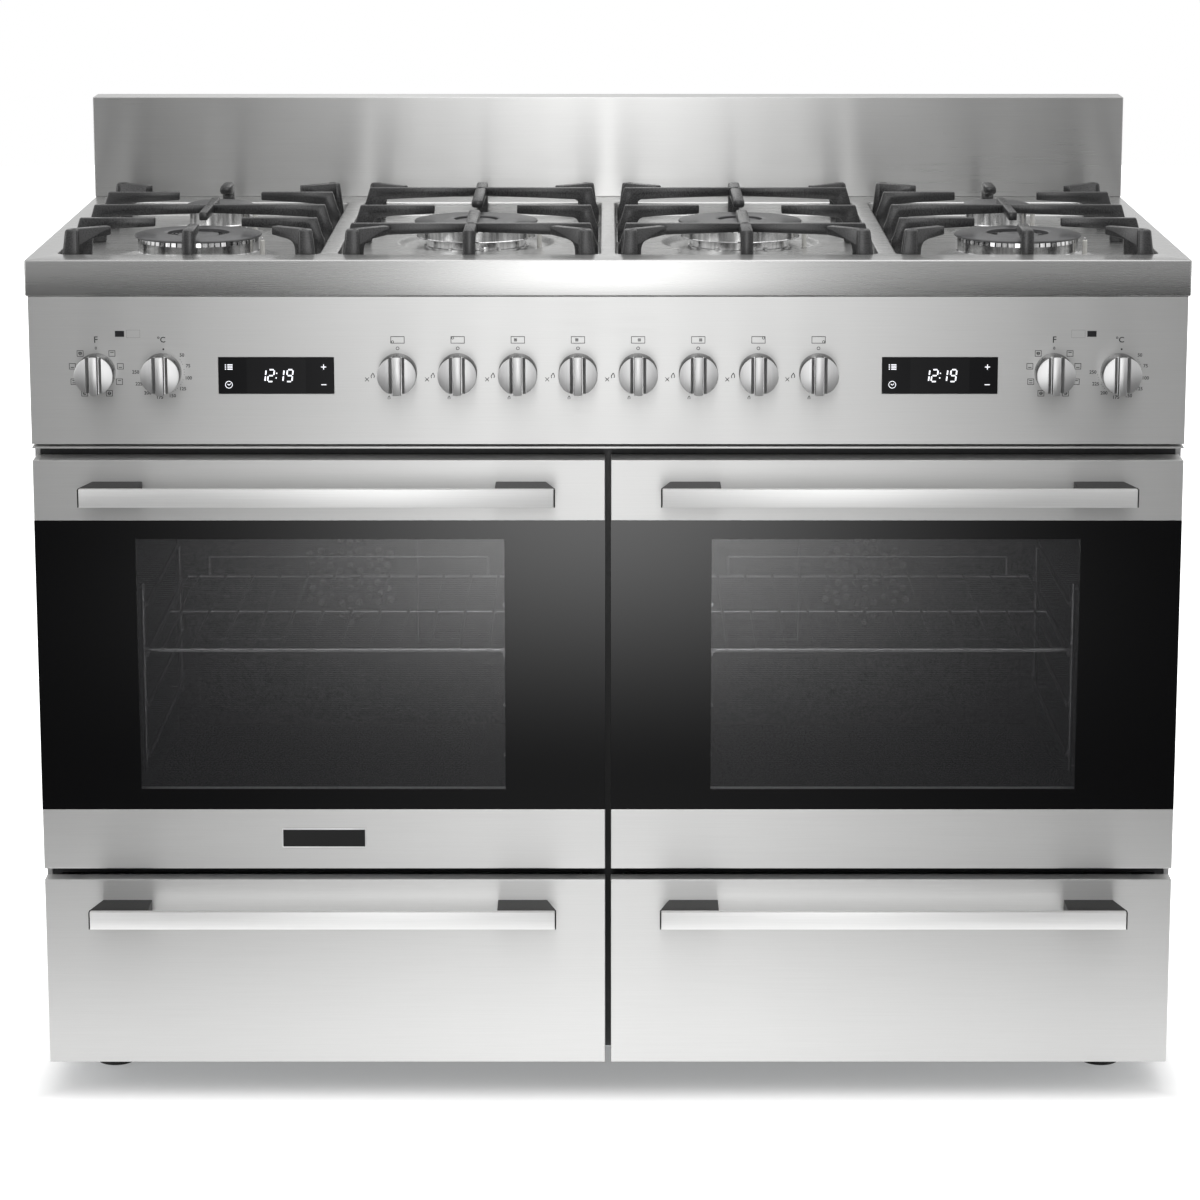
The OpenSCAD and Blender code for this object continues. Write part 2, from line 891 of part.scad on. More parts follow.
// The rail that feeds the taps, the supply pipes, and the inlet at the rear
module gas_pipework() {
    rail_y = tap_end + rail_size / 2;
    rail_end = gas_x(8) + rail_size;
    rail_bore = rail_size - 2 * rail_wall;
    cup_z = well_z + spreader_z - cup_h;
    color("silver") {
        difference() {
            translate([0, rail_y, knob_z])
                cube([2 * rail_end, rail_size, rail_size], center = true);
            translate([0, rail_y, knob_z])
                cube([2 * (rail_end - rail_wall), rail_bore, rail_bore], center = true);
        }
        bar([rail_end, rail_y, knob_z], [inlet_x, rail_y, knob_z], inlet_pipe_r);
        translate([inlet_x, rail_y, knob_z])
            sphere(r = inlet_pipe_r + 0.5);
        rear_bar(inlet_x, rail_y, knob_z, body_d - inlet_l - rail_y, inlet_pipe_r);
        difference() {
            rear_bar(inlet_x, body_d - inlet_l, knob_z, inlet_l, inlet_r);
            rear_bar(inlet_x, body_d - inlet_l + inlet_collar, knob_z, inlet_l, inlet_bore_r);
        }
        both_sides() {
            supply_pipe(8, outer_well_x, front_burner_y, cup_z);
            supply_pipe(7, outer_well_x, rear_burner_y, cup_z);
            supply_pipe(6, inner_well_x + jet_x, inner_burner_y, cup_z);
            supply_pipe(5, inner_well_x - jet_x, inner_burner_y, cup_z);
        }
    }
}

// Ovens

motor_hole_r = 12;
emboss = [333, 2, 19];
emboss_space = 1.5;

module oven_cavity(side) {
    half = cavity_w / 2;
    color([0.16, 0.16, 0.17])
        at_oven(side)
            difference() {
                block([-half - sheet_t, half + sheet_t], [frame_y, cavity_back + sheet_t],
                      [cavity_z - sheet_t, cavity_top + sheet_t]);
                difference() {
                    block([-half, half], [frame_y - 1, cavity_back], [cavity_z, cavity_top]);
                    translate([0, cavity_back, fan_z - cover_half - emboss[2] / 2 - emboss_space])
                        cube([emboss[0], 2 * emboss[1], emboss[2]], center = true);
                }
                rear_bar(0, cavity_back - 1, fan_z, sheet_t + 2, motor_hole_r);
            }
}

cover_gap = 21.5;
cover_hole_r = 4;
hole_pitch = 13.5;
hole_side = 10;

// The pressed cover in front of each fan, with its holes set out as six petals
module fan_covers() {
    front = cavity_back - cover_gap;
    inner = cover_half - sheet_t;
    color([0.2, 0.2, 0.21])
        for (side = [-1, 1])
            at_oven(side)
                difference() {
                    block([-cover_half, cover_half], [front, cavity_back],
                          [fan_z - cover_half, fan_z + cover_half]);
                    block([-inner, inner], [front + sheet_t, cavity_back + 1],
                          [fan_z - inner, fan_z + inner]);
                    translate([0, front, fan_z])
                        rotate([90, 0, 0])
                            cover_holes();
                }
}

module cover_holes() {
    cylinder(h = 5, r = cover_hole_r, center = true);
    for (petal = [0 : 5])
        rotate(petal * 60) {
            for (i = [1 : 4])
                translate([0, i * hole_pitch, 0])
                    cylinder(h = 5, r = cover_hole_r, center = true);
            for (i = [2 : 3], s = [-1, 1])
                translate([s * hole_side, i * hole_pitch + cover_hole_r, 0])
                    cylinder(h = 5, r = cover_hole_r, center = true);
        }
}

fan_shaft_r = 4;
fan_front = cavity_back - 18;
fan_w = 12;
fan_hub_r = 9;
blade_l = 30;
blade_t = 1.2;
blades = 10;
shaft_l = 62;
motor_r = 36;
motor_l = 56;
motor_plate = [100, 3, 60];

module fan_wheel(side) {
    color("silver")
        at_oven(side)
            translate([0, fan_front, fan_z])
                rotate([-90, 0, 0]) {
                    cylinder(h = shaft_l, r = fan_shaft_r);
                    cylinder(h = fan_w, r = fan_hub_r);
                    translate([0, 0, fan_w - 1])
                        cylinder(h = 1, r = fan_r);
                    for (i = [0 : blades - 1])
                        rotate(i * 360 / blades)
                            translate([fan_r - blade_l, -blade_t / 2, 0])
                                cube([blade_l - 1, blade_t, fan_w]);
                }
}

module fan_motors() {
    bore_l = fan_front + shaft_l + 2 - cavity_back;
    color("darkgray")
        for (side = [-1, 1])
            at_oven(side)
                difference() {
                    union() {
                        rear_bar(0, cavity_back + sheet_t, fan_z, motor_l, motor_r);
                        translate([0, cavity_back + sheet_t + motor_plate[1] / 2, fan_z])
                            cube(motor_plate, center = true);
                    }
                    rear_bar(0, cavity_back, fan_z, bore_l, fan_shaft_r + slip);
                }
}

element_drop = 22;
element_turn_r = 50;
element_front = 110;
ring_gap = 10;
ring_tail_x = 20;

// The grill's bent element under the oven's roof, and the ring element round the fan
module heating_elements() {
    y = frame_y + element_front;
    z = cavity_top - element_drop;
    ring_y = cavity_back - ring_gap;
    color("dimgray")
        for (side = [-1, 1])
            at_oven(side) {
                for (i = [-3, -1, 1, 3])
                    rear_bar(i * element_turn_r, y, z, cavity_d - element_front, element_r);
                for (i = [-2, 2])
                    translate([i * element_turn_r, y, z])
                        half_turn(element_turn_r);
                translate([0, ring_y, fan_z])
                    rotate([90, 0, 0])
                        rotate_extrude()
                            translate([ring_r, 0])
                                circle(r = element_r, $fn = 24);
                for (x = [-ring_tail_x, ring_tail_x])
                    rear_bar(x, ring_y, fan_z + sqrt(ring_r * ring_r - x * x), ring_gap,
                             element_r - 1);
            }
}

module half_turn(r) {
    rotate(180)
        rotate_extrude(angle = 180)
            translate([r, 0])
                circle(r = element_r, $fn = 24);
}

rack_wire_r = 2.5;
shelf_rod_r = 3;
shelf_y = frame_y + shelf_setback;
shelf_side_x = shelf_w / 2 - shelf_rod_r;
rack_x = shelf_side_x + 2;
rack_post_x = rack_x + 2 * rack_wire_r - 0.4;
rack_levels = [-110, -55, 0, 55];
rack_setback = 22;
rack_short = 60;
rack_front = frame_y + rack_setback;
rack_length = cavity_d - rack_short;
rack_post_in = 12;
rack_post_z = [-130, 75];
rack_stud_in = 5;

// The wire ladders on both walls of each oven, which carry the shelf
module side_racks() {
    level_z = shelf_z - 2 * shelf_rod_r - play - rack_wire_r;
    wall_x = cavity_w / 2;
    color("silver")
        for (side = [-1, 1])
            at_oven(side)
                both_sides() {
                    for (rise = rack_levels)
                        rear_bar(rack_x, rack_front, level_z + rise, rack_length, rack_wire_r);
                    for (y = [rack_front + rack_post_in, rack_front + rack_length - rack_post_in]) {
                        translate([rack_post_x, y, level_z + rack_post_z[0]])
                            cylinder(h = rack_post_z[1] - rack_post_z[0], r = rack_wire_r);
                        for (rise = [rack_post_z[0] + rack_stud_in, rack_post_z[1] - rack_stud_in])
                            bar([rack_post_x, y, level_z + rise], [wall_x, y, level_z + rise],
                                rack_wire_r - 0.5);
                    }
                }
}

shelf_rods = 12;
shelf_pitch = 31.5;
guard_w = 322;
guard_h = 20;
thin_rod_r = 1.75;

module wire_shelf(side) {
    z = shelf_z - shelf_rod_r;
    back = shelf_y + shelf_d;
    guard_y = back - shelf_rod_r;
    guard_z = shelf_z + guard_h;
    color("silver")
        at_oven(side) {
            for (s = [-1, 1])
                rear_bar(s * shelf_side_x, shelf_y, z, shelf_d, shelf_rod_r);
            for (y = [shelf_y + shelf_rod_r, shelf_y + shelf_d / 2, back - shelf_rod_r])
                bar([-shelf_side_x, y, z], [shelf_side_x, y, z], shelf_rod_r - 0.4);
            for (i = [0 : shelf_rods - 1])
                rear_bar((i - (shelf_rods - 1) / 2) * shelf_pitch, shelf_y - 2, shelf_z - 1,
                         shelf_d - 1, thin_rod_r);
            for (s = [-1, 1])
                bar([s * guard_w / 2, guard_y, z], [s * guard_w / 2, guard_y, guard_z],
                    thin_rod_r + 0.4);
            bar([-guard_w / 2, guard_y, guard_z], [guard_w / 2, guard_y, guard_z], thin_rod_r);
        }
}

seal_margin = 4;
seal_w = 9;

module oven_seals() {
    inner_x = cavity_w / 2 + seal_margin;
    outer_x = inner_x + seal_w;
    y = [door_t + seal_play, shell_y];
    inner_z = [cavity_z - seal_margin, cavity_top + seal_margin];
    color([0.1, 0.1, 0.1])
        for (side = [-1, 1])
            at_oven(side)
                difference() {
                    block([-outer_x, outer_x], y, [inner_z[0] - seal_w, inner_z[1] + seal_w]);
                    block([-inner_x, inner_x], [y[0] - 1, y[1] + 1], inner_z);
                }
}

// Doors

inner_glass_margin = 14;
window_space = 6;
hinge_plate_lift = 20;
notch = 7;
notch_w = ear_t + 2;
inner_glass_y = door_t - inner_glass_t;
glass_z = [door_z + bottom_band_h, door_top - top_band_h];
window_z = (glass_z[0] + glass_z[1]) / 2 + 1;

// The folded steel shell of a door, with the bands above and below the glass
module door_frame(side) {
    half = door_w / 2;
    inside = [sheet_t - half, half - sheet_t];
    band_y = [sheet_t, inner_glass_y - sheet_t];
    open_x = window_w / 2 + window_space;
    open_z = window_h / 2 + window_space;
    color("silver")
        at_oven(side)
            difference() {
                block([-half, half], [0, inner_glass_y], [door_z, door_top]);
                block([-half - 1, half + 1], [-1, glass_t], glass_z);
                block(inside, band_y, [door_z + sheet_t, glass_z[0] - sheet_t]);
                block(inside, band_y, [glass_z[1] + sheet_t, door_top - sheet_t]);
                block(inside, [glass_t + sheet_t, inner_glass_y - sheet_t],
                      [door_z + sheet_t, door_top - sheet_t]);
                block([-open_x, open_x], [0, door_t], [window_z - open_z, window_z + open_z]);
                for (end = [-1, 1])
                    block([end * hinge_x - notch_w / 2, end * hinge_x + notch_w / 2],
                          [hinge_y - notch, door_t], [door_z - 1, hinge_z + notch]);
            }
}

module door_glass(side) {
    color([0.05, 0.05, 0.06])
        at_oven(side)
            block([-door_w / 2, door_w / 2], [0, glass_t], glass_z);
}

module door_inner_glass(side) {
    half = door_w / 2 - inner_glass_margin;
    color([0.1, 0.1, 0.11])
        at_oven(side)
            block([-half, half], [inner_glass_y, door_t],
                  [hinge_z + notch + 2, door_top - inner_glass_margin]);
}

// The hinge bodies inside a door's lower corners, each with the pin that turns in the oven's ear
module door_hinges(side) {
    plate_t = 3;
    plate_x = notch_w / 2;
    y = [sheet_t, inner_glass_y - sheet_t];
    top = hinge_z + hinge_plate_lift;
    color("darkgray")
        at_oven(side)
            for (end = [-1, 1])
                translate([end * hinge_x, 0, 0]) {
                    for (s = [-1, 1])
                        scale([s, 1, 1])
                            block([plate_x, plate_x + plate_t], y, [door_z + sheet_t, top]);
                    block([-plate_x - plate_t, plate_x + plate_t], y, [top - plate_t, top]);
                    translate([-plate_x - plate_t, hinge_y, hinge_z])
                        rotate([0, 90, 0])
                            cylinder(h = 2 * (plate_x + plate_t), r = hinge_pin_r);
                }
}

// A flat bar held off the front by a bracket at each end, as the doors and drawers have
module handle(side, top) {
    half = handle_l / 2;
    z = [top - handle_drop - handle_h / 2, top - handle_drop + handle_h / 2];
    lip = 1.3;
    bar_back = handle_t - handle_out;
    bar_end = half - lip;
    at_oven(side) {
        color("silver")
            block([seat - bar_end, bar_end - seat], [-handle_out, bar_back - seat], z);
        color([0.08, 0.08, 0.08])
            for (s = [-1, 1])
                scale([s, 1, 1])
                    translate([0, 0, z[0]])
                        linear_extrude(height = handle_h)
                            polygon([
                                [bar_end, -handle_out], [half, -handle_out], [half, bar_back],
                                [half - bracket_slant, 0], [half - bracket_l, 0],
                                [half - bracket_l, bar_back], [bar_end, bar_back]
                            ]);
    }
}

// Drawers

runner_z = drawer_z + drawer_h / 2;
runner_h = 20;
rail_t = 6;
rail_inset = [4, 20];
channel_l = 496;
channel_lip = 4;
bracket_w = 30;
bracket_in = 20;
box_lift = 16;
drawer_box_z = drawer_z + box_lift;

module drawer_front(side) {
    half = door_w / 2;
    color("silver")
        at_oven(side)
            difference() {
                block([-half, half], [0, drawer_t], [drawer_z, drawer_z + drawer_h]);
                block([sheet_t - half, half - sheet_t], [sheet_t, drawer_t - sheet_t],
                      [drawer_z + sheet_t, drawer_z + drawer_h - sheet_t]);
            }
}

// The drawer's open box, with the rail on each side that runs in the body's channel
module drawer_box(side) {
    half = drawer_box_w / 2;
    rear = drawer_t + drawer_box_d;
    floor_top = drawer_box_z + sheet_t;
    wall_z = [floor_top + seat, drawer_box_z + drawer_box_h];
    color("gray")
        at_oven(side) {
            block([-half, half], [drawer_t, rear], [drawer_box_z, floor_top]);
            block([-half, half], [drawer_t, drawer_t + sheet_t], wall_z);
            block([-half, half], [rear - sheet_t, rear], wall_z);
            both_sides() {
                block([half - sheet_t, half],
                      [drawer_t + sheet_t + seat, rear - sheet_t - seat], wall_z);
                block([half + seat, half + rail_t],
                      [drawer_t + rail_inset[0], rear - rail_inset[1]],
                      [runner_z - runner_h / 2, runner_z + runner_h / 2]);
            }
        }
}

// The four channels that guide the drawers, each held by two brackets
module drawer_runners() {
    web = drawer_box_w / 2 + rail_t + play;
    half_h = runner_h / 2 + play;
    rear = frame_y + channel_l;
    outer_reach = body_w / 2 - sheet_t - oven_x;
    inner_reach = oven_x - sheet_t / 2;
    color("gainsboro")
        for (side = [-1, 1], end = [-1, 1])
            at_oven(side)
                scale([end, 1, 1])
                    difference() {
                        union() {
                            block([web - channel_lip, web + sheet_t], [frame_y, rear],
                                  [runner_z - half_h - sheet_t, runner_z + half_h + sheet_t]);
                            for (y = [frame_y + bracket_in, rear - bracket_in - bracket_w])
                                block([web, end == side ? outer_reach : inner_reach],
                                      [y, y + bracket_w], [runner_z - half_h, runner_z + half_h]);
                        }
                        block([web - channel_lip - 1, web], [frame_y - 1, rear + 1],
                              [runner_z - half_h, runner_z + half_h]);
                    }
}

placed() body_panels();
placed() back_panel();
placed() base_pan();
placed() front_frame();
placed() levelling_feet();
placed() hob_top();
placed() splashback();
placed() control_panel();
placed() timer_displays();
placed() oven_cavity(-1);  // oven_cavity_left
placed() oven_cavity(1);  // oven_cavity_right
placed() fan_covers();
placed() fan_motors();
placed() heating_elements();
placed() side_racks();
placed() oven_seals();
placed() gas_pipework();
placed() gas_taps();
placed() oven_switches();
placed() burner_cups();
placed() flame_spreaders();
placed() burner_caps();
placed() drawer_runners();
placed() door_frame(-1);  // door_frame_left
placed() door_glass(-1);  // door_glass_left
placed() door_inner_glass(-1);  // door_inner_glass_left
placed() handle(-1, door_top);  // door_handle_left
placed() door_hinges(-1);  // door_hinges_left
placed() door_frame(1);  // door_frame_right
placed() door_glass(1);  // door_glass_right
placed() door_inner_glass(1);  // door_inner_glass_right
placed() handle(1, door_top);  // door_handle_right
placed() door_hinges(1);  // door_hinges_right
placed() drawer_front(-1);  // drawer_front_left
placed() drawer_box(-1);  // drawer_box_left
placed() handle(-1, drawer_z + drawer_h);  // drawer_handle_left
placed() drawer_front(1);  // drawer_front_right
placed() drawer_box(1);  // drawer_box_right
placed() handle(1, drawer_z + drawer_h);  // drawer_handle_right
placed() wire_shelf(-1);  // wire_shelf_left
placed() wire_shelf(1);  // wire_shelf_right
placed() fan_wheel(-1);  // fan_wheel_left
placed() fan_wheel(1);  // fan_wheel_right
placed() grate(-outer_well_x, true);  // grate_1
placed() grate(-inner_well_x, false);  // grate_2
placed() grate(inner_well_x, false);  // grate_3
placed() grate(outer_well_x, true);  // grate_4
placed() knob(gas_x(1));  // gas_knob_1
placed() knob(gas_x(2));  // gas_knob_2
placed() knob(gas_x(3));  // gas_knob_3
placed() knob(gas_x(4));  // gas_knob_4
placed() knob(gas_x(5));  // gas_knob_5
placed() knob(gas_x(6));  // gas_knob_6
placed() knob(gas_x(7));  // gas_knob_7
placed() knob(gas_x(8));  // gas_knob_8
placed() knob(-far_knob_x);  // function_knob_left
placed() knob(near_knob_x);  // function_knob_right
placed() knob(-near_knob_x);  // temperature_knob_left
placed() knob(far_knob_x);  // temperature_knob_right
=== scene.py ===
"""The visible pieces and finishes of a free-standing range cooker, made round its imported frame."""

import math

import bmesh
import bpy
from mathutils import Matrix, Vector


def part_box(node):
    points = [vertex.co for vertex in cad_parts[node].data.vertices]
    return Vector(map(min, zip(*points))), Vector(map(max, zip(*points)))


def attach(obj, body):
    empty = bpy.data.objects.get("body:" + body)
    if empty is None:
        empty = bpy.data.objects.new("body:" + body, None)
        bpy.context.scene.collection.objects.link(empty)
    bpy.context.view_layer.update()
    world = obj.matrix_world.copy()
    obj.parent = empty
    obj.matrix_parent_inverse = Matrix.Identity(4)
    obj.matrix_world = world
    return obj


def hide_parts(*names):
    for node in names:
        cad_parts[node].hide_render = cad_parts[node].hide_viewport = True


bl_info = {
    "name": "Range Cooker",
    "version": (1, 0, 0),
    "blender": (4, 5, 0),
    "location": "3D View > Sidebar > Cooker",
    "description": "Makes the visible pieces and finishes of a range cooker",
    "category": "Object",
}

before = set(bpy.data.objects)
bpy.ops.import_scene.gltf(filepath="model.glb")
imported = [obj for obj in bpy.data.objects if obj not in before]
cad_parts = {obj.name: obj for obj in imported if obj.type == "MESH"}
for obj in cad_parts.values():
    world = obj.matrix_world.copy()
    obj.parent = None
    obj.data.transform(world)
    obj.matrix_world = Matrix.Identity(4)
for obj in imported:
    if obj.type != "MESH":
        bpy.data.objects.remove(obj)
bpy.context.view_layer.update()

MM = 0.001
BOLDNESS = 0.07 * MM
SIDES = ("left", "right")
GAS_KNOBS = [f"gas_knob_{number}" for number in range(1, 9)]
FUNCTION_KNOBS = [f"function_knob_{side}" for side in SIDES]
HEAT_KNOBS = [f"temperature_knob_{side}" for side in SIDES]

HOB_LOW, HOB_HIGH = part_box("hob_top")
FRONT = HOB_LOW[1]
HOB_Z = HOB_HIGH[2]


# Shapes


def middle_of(node):
    """The middle of a node's box along X and Z."""
    low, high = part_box(node)
    return (low[0] + high[0]) / 2, (low[2] + high[2]) / 2


def verts_of(made):
    return [item for item in made if isinstance(item, bmesh.types.BMVert)]


def extrude(bm, faces, offset):
    """Extrudes faces and moves the new ends by an offset."""
    made = bmesh.ops.extrude_face_region(bm, geom=faces)["geom"]
    bmesh.ops.translate(bm, vec=offset, verts=verts_of(made))


def bevel(bm, parts, width, segments=2, affect="EDGES", **settings):
    bmesh.ops.bevel(
        bm, geom=parts, offset=width, segments=segments, profile=0.5, affect=affect, material=-1,
        **settings,
    )


def add_box(bm, low, high, rounding=0.0, segments=2):
    """Adds a box between two corners, with its edges rounded."""
    low, high = Vector(low), Vector(high)
    verts = bmesh.ops.create_cube(bm, size=1.0)["verts"]
    bmesh.ops.scale(bm, vec=high - low, verts=verts)
    bmesh.ops.translate(bm, vec=(low + high) / 2, verts=verts)
    if rounding:
        bevel(bm, list({edge for vert in verts for edge in vert.link_edges}), rounding, segments)


def add_prism(bm, outline, thickness, matrix, rounding=0.0, segments=2):
    """Adds an outline in X and Z as a plate with a thickness along Y, and moves it by a matrix."""
    start = set(bm.verts)
    face = bm.faces.new([bm.verts.new((x, -thickness / 2, z)) for x, z in outline])
    extrude(bm, [face], (0, thickness, 0))
    if rounding:
        round_edges(bm, [vert for vert in bm.verts if vert not in start], rounding, segments)
    made = [vert for vert in bm.verts if vert not in start]
    bmesh.ops.transform(bm, matrix=matrix, verts=made)


def round_edges(bm, verts, width, segments=2):
    """Rounds the edges between the given verts that turn by more than 40 degrees."""
    faces = list({face for vert in verts for face in vert.link_faces})
    bmesh.ops.recalc_face_normals(bm, faces=faces)
    limit = math.radians(40)
    edges = {edge for vert in verts for edge in vert.link_edges if edge.calc_face_angle(0) > limit}
    bevel(bm, list(edges), width, segments)


def add_turned(bm, profile, centre, steps=72, axis=(0, 0, 1)):
    """Spins an open profile of radii and heights, in millimetres, round an axis at a centre."""
    centre, axis = Vector(centre), Vector(axis)
    out = axis.orthogonal().normalized()
    verts = [bm.verts.new(centre + out * (r * MM) + axis * (height * MM)) for r, height in profile]
    edges = [bm.edges.new(pair) for pair in zip(verts, verts[1:])]
    start = set(bm.verts) - set(verts)
    bmesh.ops.spin(
        bm, geom=verts + edges, cent=centre, axis=axis, dvec=(0, 0, 0), angle=2 * math.pi,
        steps=steps, use_merge=True,
    )
    made = [vert for vert in bm.verts if vert not in start]
    bmesh.ops.remove_doubles(bm, verts=made, dist=1e-6)


def make_piece(name, bm, body, materials, replaces=(), angle=35.0, recalculate=True):
    """Turns a bmesh into a piece that rides on a body, smooth but for edges over an angle."""
    if recalculate:
        bmesh.ops.recalc_face_normals(bm, faces=bm.faces)
    limit = math.radians(angle)
    for face in bm.faces:
        face.smooth = True
    for edge in bm.edges:
        edge.smooth = len(edge.link_faces) == 2 and edge.calc_face_angle(math.pi) < limit
    mesh = bpy.data.meshes.new(name)
    bm.to_mesh(mesh)
    bm.free()
    for material in materials:
        mesh.materials.append(bpy.data.materials[material])
    piece = bpy.data.objects.new(name, mesh)
    bpy.context.scene.collection.objects.link(piece)
    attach(piece, body)
    if replaces:
        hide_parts(*replaces)
    return piece


# Printed marks: thin shapes on a plane that faces the viewer


class Print:
    """Draws thin marks on a front plane, in millimetres across and up from a place on it."""

    def __init__(self, y, thickness=0.08 * MM):
        self.bm = bmesh.new()
        self.y = y
        self.thickness = thickness
        self.place = (0.0, 0.0)

    def at(self, x, z):
        """A spot on the plane, in metres."""
        return Vector((self.place[0] + x * MM, self.y, self.place[1] + z * MM))

    def middle(self, x, z):
        """A spot in the middle of the ink, as a matrix."""
        return Matrix.Translation(self.at(x, z) - Vector((0, self.thickness / 2, 0)))

    def stroke(self, x0, z0, x1, z1, width):
        size = (math.hypot(x1 - x0, z1 - z0) * MM, self.thickness, width * MM)
        turn = Matrix.Rotation(-math.atan2(z1 - z0, x1 - x0), 4, "Y")
        place = self.middle((x0 + x1) / 2, (z0 + z1) / 2)
        verts = bmesh.ops.create_cube(self.bm, size=1.0)["verts"]
        bmesh.ops.scale(self.bm, vec=size, verts=verts)
        bmesh.ops.transform(self.bm, matrix=place @ turn, verts=verts)

    def patch(self, x, z, width, height):
        self.stroke(x - width / 2, z, x + width / 2, z, height)

    def outline(self, x, z, width, height, line):
        for end in (-1, 1):
            self.patch(x, z + end * (height - line) / 2, width, line)
            self.patch(x + end * (width - line) / 2, z, line, height - 2 * line)

    def disc(self, x, z, profile, steps):
        add_turned(self.bm, profile, self.at(x, z), steps, axis=(0, -1, 0))

    def ring(self, x, z, radius, line):
        inner, outer, height = radius - line / 2, radius + line / 2, self.thickness / MM
        self.disc(x, z, [(inner, 0), (outer, 0), (outer, height), (inner, height), (inner, 0)], 20)

    def dot(self, x, z, radius, steps=12):
        height = self.thickness / MM
        self.disc(x, z, [(radius, 0), (radius, height), (0, height)], steps)

    def flame(self, x, z, height, line):
        """A small flame, open at its foot."""
        shape = (
            (-0.24, -0.5), (-0.34, -0.12), (-0.14, 0.22), (0.04, 0.5), (0.22, 0.16), (0.32, -0.2),
            (0.18, -0.44),
        )
        points = [(x + across * height, z + up * height) for across, up in shape]
        for start, end in zip(points, points[1:]):
            self.stroke(*start, *end, line)

    def words(self, text, size, x, z):
        curve = bpy.data.curves.new(text, "FONT")
        curve.body = text
        curve.size = size * MM
        curve.align_x = "CENTER"
        curve.align_y = "CENTER"
        curve.extrude = self.thickness / 2
        curve.resolution_u = 3
        curve.offset = BOLDNESS
        letters = bpy.data.objects.new(text, curve)
        bpy.context.scene.collection.objects.link(letters)
        bpy.context.view_layer.update()
        graph = bpy.context.evaluated_depsgraph_get()
        mesh = bpy.data.meshes.new_from_object(letters.evaluated_get(graph))
        bpy.data.objects.remove(letters)
        bpy.data.curves.remove(curve)
        mesh.transform(self.middle(x, z) @ Matrix.Rotation(math.pi / 2, 4, "X"))
        self.bm.from_mesh(mesh)
        bpy.data.meshes.remove(mesh)

    def finish(self, name, material, slot):
        make_piece(name, self.bm, "cabinet", [material])


# Finishes


def new_material(name, colour, metallic, roughness, **sockets):
    """A material whose shader has plain values, and the parts of its node tree."""
    material = bpy.data.materials.new(name)
    material.use_nodes = True
    tree = material.node_tree
    shader = tree.nodes["Principled BSDF"]
    shader.inputs["Base Color"].default_value = (*colour, 1)
    shader.inputs["Metallic"].default_value = metallic
    shader.inputs["Roughness"].default_value = roughness
    for socket, value in sockets.items():
        shader.inputs[socket.replace("_", " ")].default_value = value
    return tree, shader


def add_node(tree, kind, sockets=(), **settings):
    """Adds a shader node, and fills its inputs with numbers or from other nodes' outputs."""
    node = tree.nodes.new("ShaderNode" + kind)
    for key, value in settings.items():
        setattr(node, key, value)
    for socket, value in dict(sockets).items():
        if isinstance(value, bpy.types.NodeSocket):
            tree.links.new(value, node.inputs[socket])
        else:
            node.inputs[socket].default_value = value
    return node


def add_noise(tree, scale, detail=2.0):
    """Noise in the piece's own coordinates, stretched by a scale along each axis."""
    place = add_node(tree, "TexCoord").outputs["Object"]
    stretched = add_node(tree, "Mapping", {"Vector": place, "Scale": scale}).outputs["Vector"]
    sockets = {"Vector": stretched, "Scale": 1.0, "Detail": detail}
    return add_node(tree, "TexNoise", sockets).outputs["Fac"]


def spread(tree, source, low, high, start=0.3, end=0.7, **settings):
    """Maps one range of values to another."""
    limits = {"Value": source, "From Min": start, "From Max": end, "To Min": low, "To Max": high}
    return add_node(tree, "MapRange", limits, **settings).outputs["Result"]


def rise(tree, source, start, end):
    """Goes softly from 0 to 1 between two places."""
    return spread(tree, source, 0, 1, start, end, interpolation_type="SMOOTHSTEP")


def calc(tree, operation, *values):
    """One step of arithmetic on numbers and sockets."""
    return add_node(tree, "Math", dict(enumerate(values)), operation=operation).outputs["Value"]


def axes_of(tree, space):
    """The X, Y and Z of a place, as sockets."""
    place = add_node(tree, "TexCoord").outputs[space]
    return add_node(tree, "SeparateXYZ", {"Vector": place}).outputs


def add_bump(tree, shader, height, strength, distance):
    bump = add_node(tree, "Bump", {"Strength": strength, "Distance": distance, "Height": height})
    tree.links.new(bump.outputs["Normal"], shader.inputs["Normal"])


def tint(tree, shader, factor, dark, light):
    """Mixes two colours by a factor into the base colour."""
    sockets = {"Factor": factor, "A": (*dark, 1), "B": (*light, 1)}
    mix = add_node(tree, "Mix", sockets, data_type="RGBA")
    tree.links.new(mix.outputs["Result"], shader.inputs["Base Color"])


def shade(colour, share):
    return tuple(min(1.0, channel * share) for channel in colour)


def lay_grain(tree, shader, along):
    """Turns the stretched highlight to lie square to the brushing, whatever way a face looks."""
    spaces = {"vector_type": "VECTOR", "convert_from": "OBJECT", "convert_to": "WORLD"}
    turn = add_node(tree, "VectorTransform", {"Vector": along}, **spaces).outputs["Vector"]
    normal = add_node(tree, "NewGeometry").outputs["Normal"]
    cross = add_node(tree, "VectorMath", {0: normal, 1: turn}, operation="CROSS_PRODUCT")
    tree.links.new(cross.outputs["Vector"], shader.inputs["Tangent"])


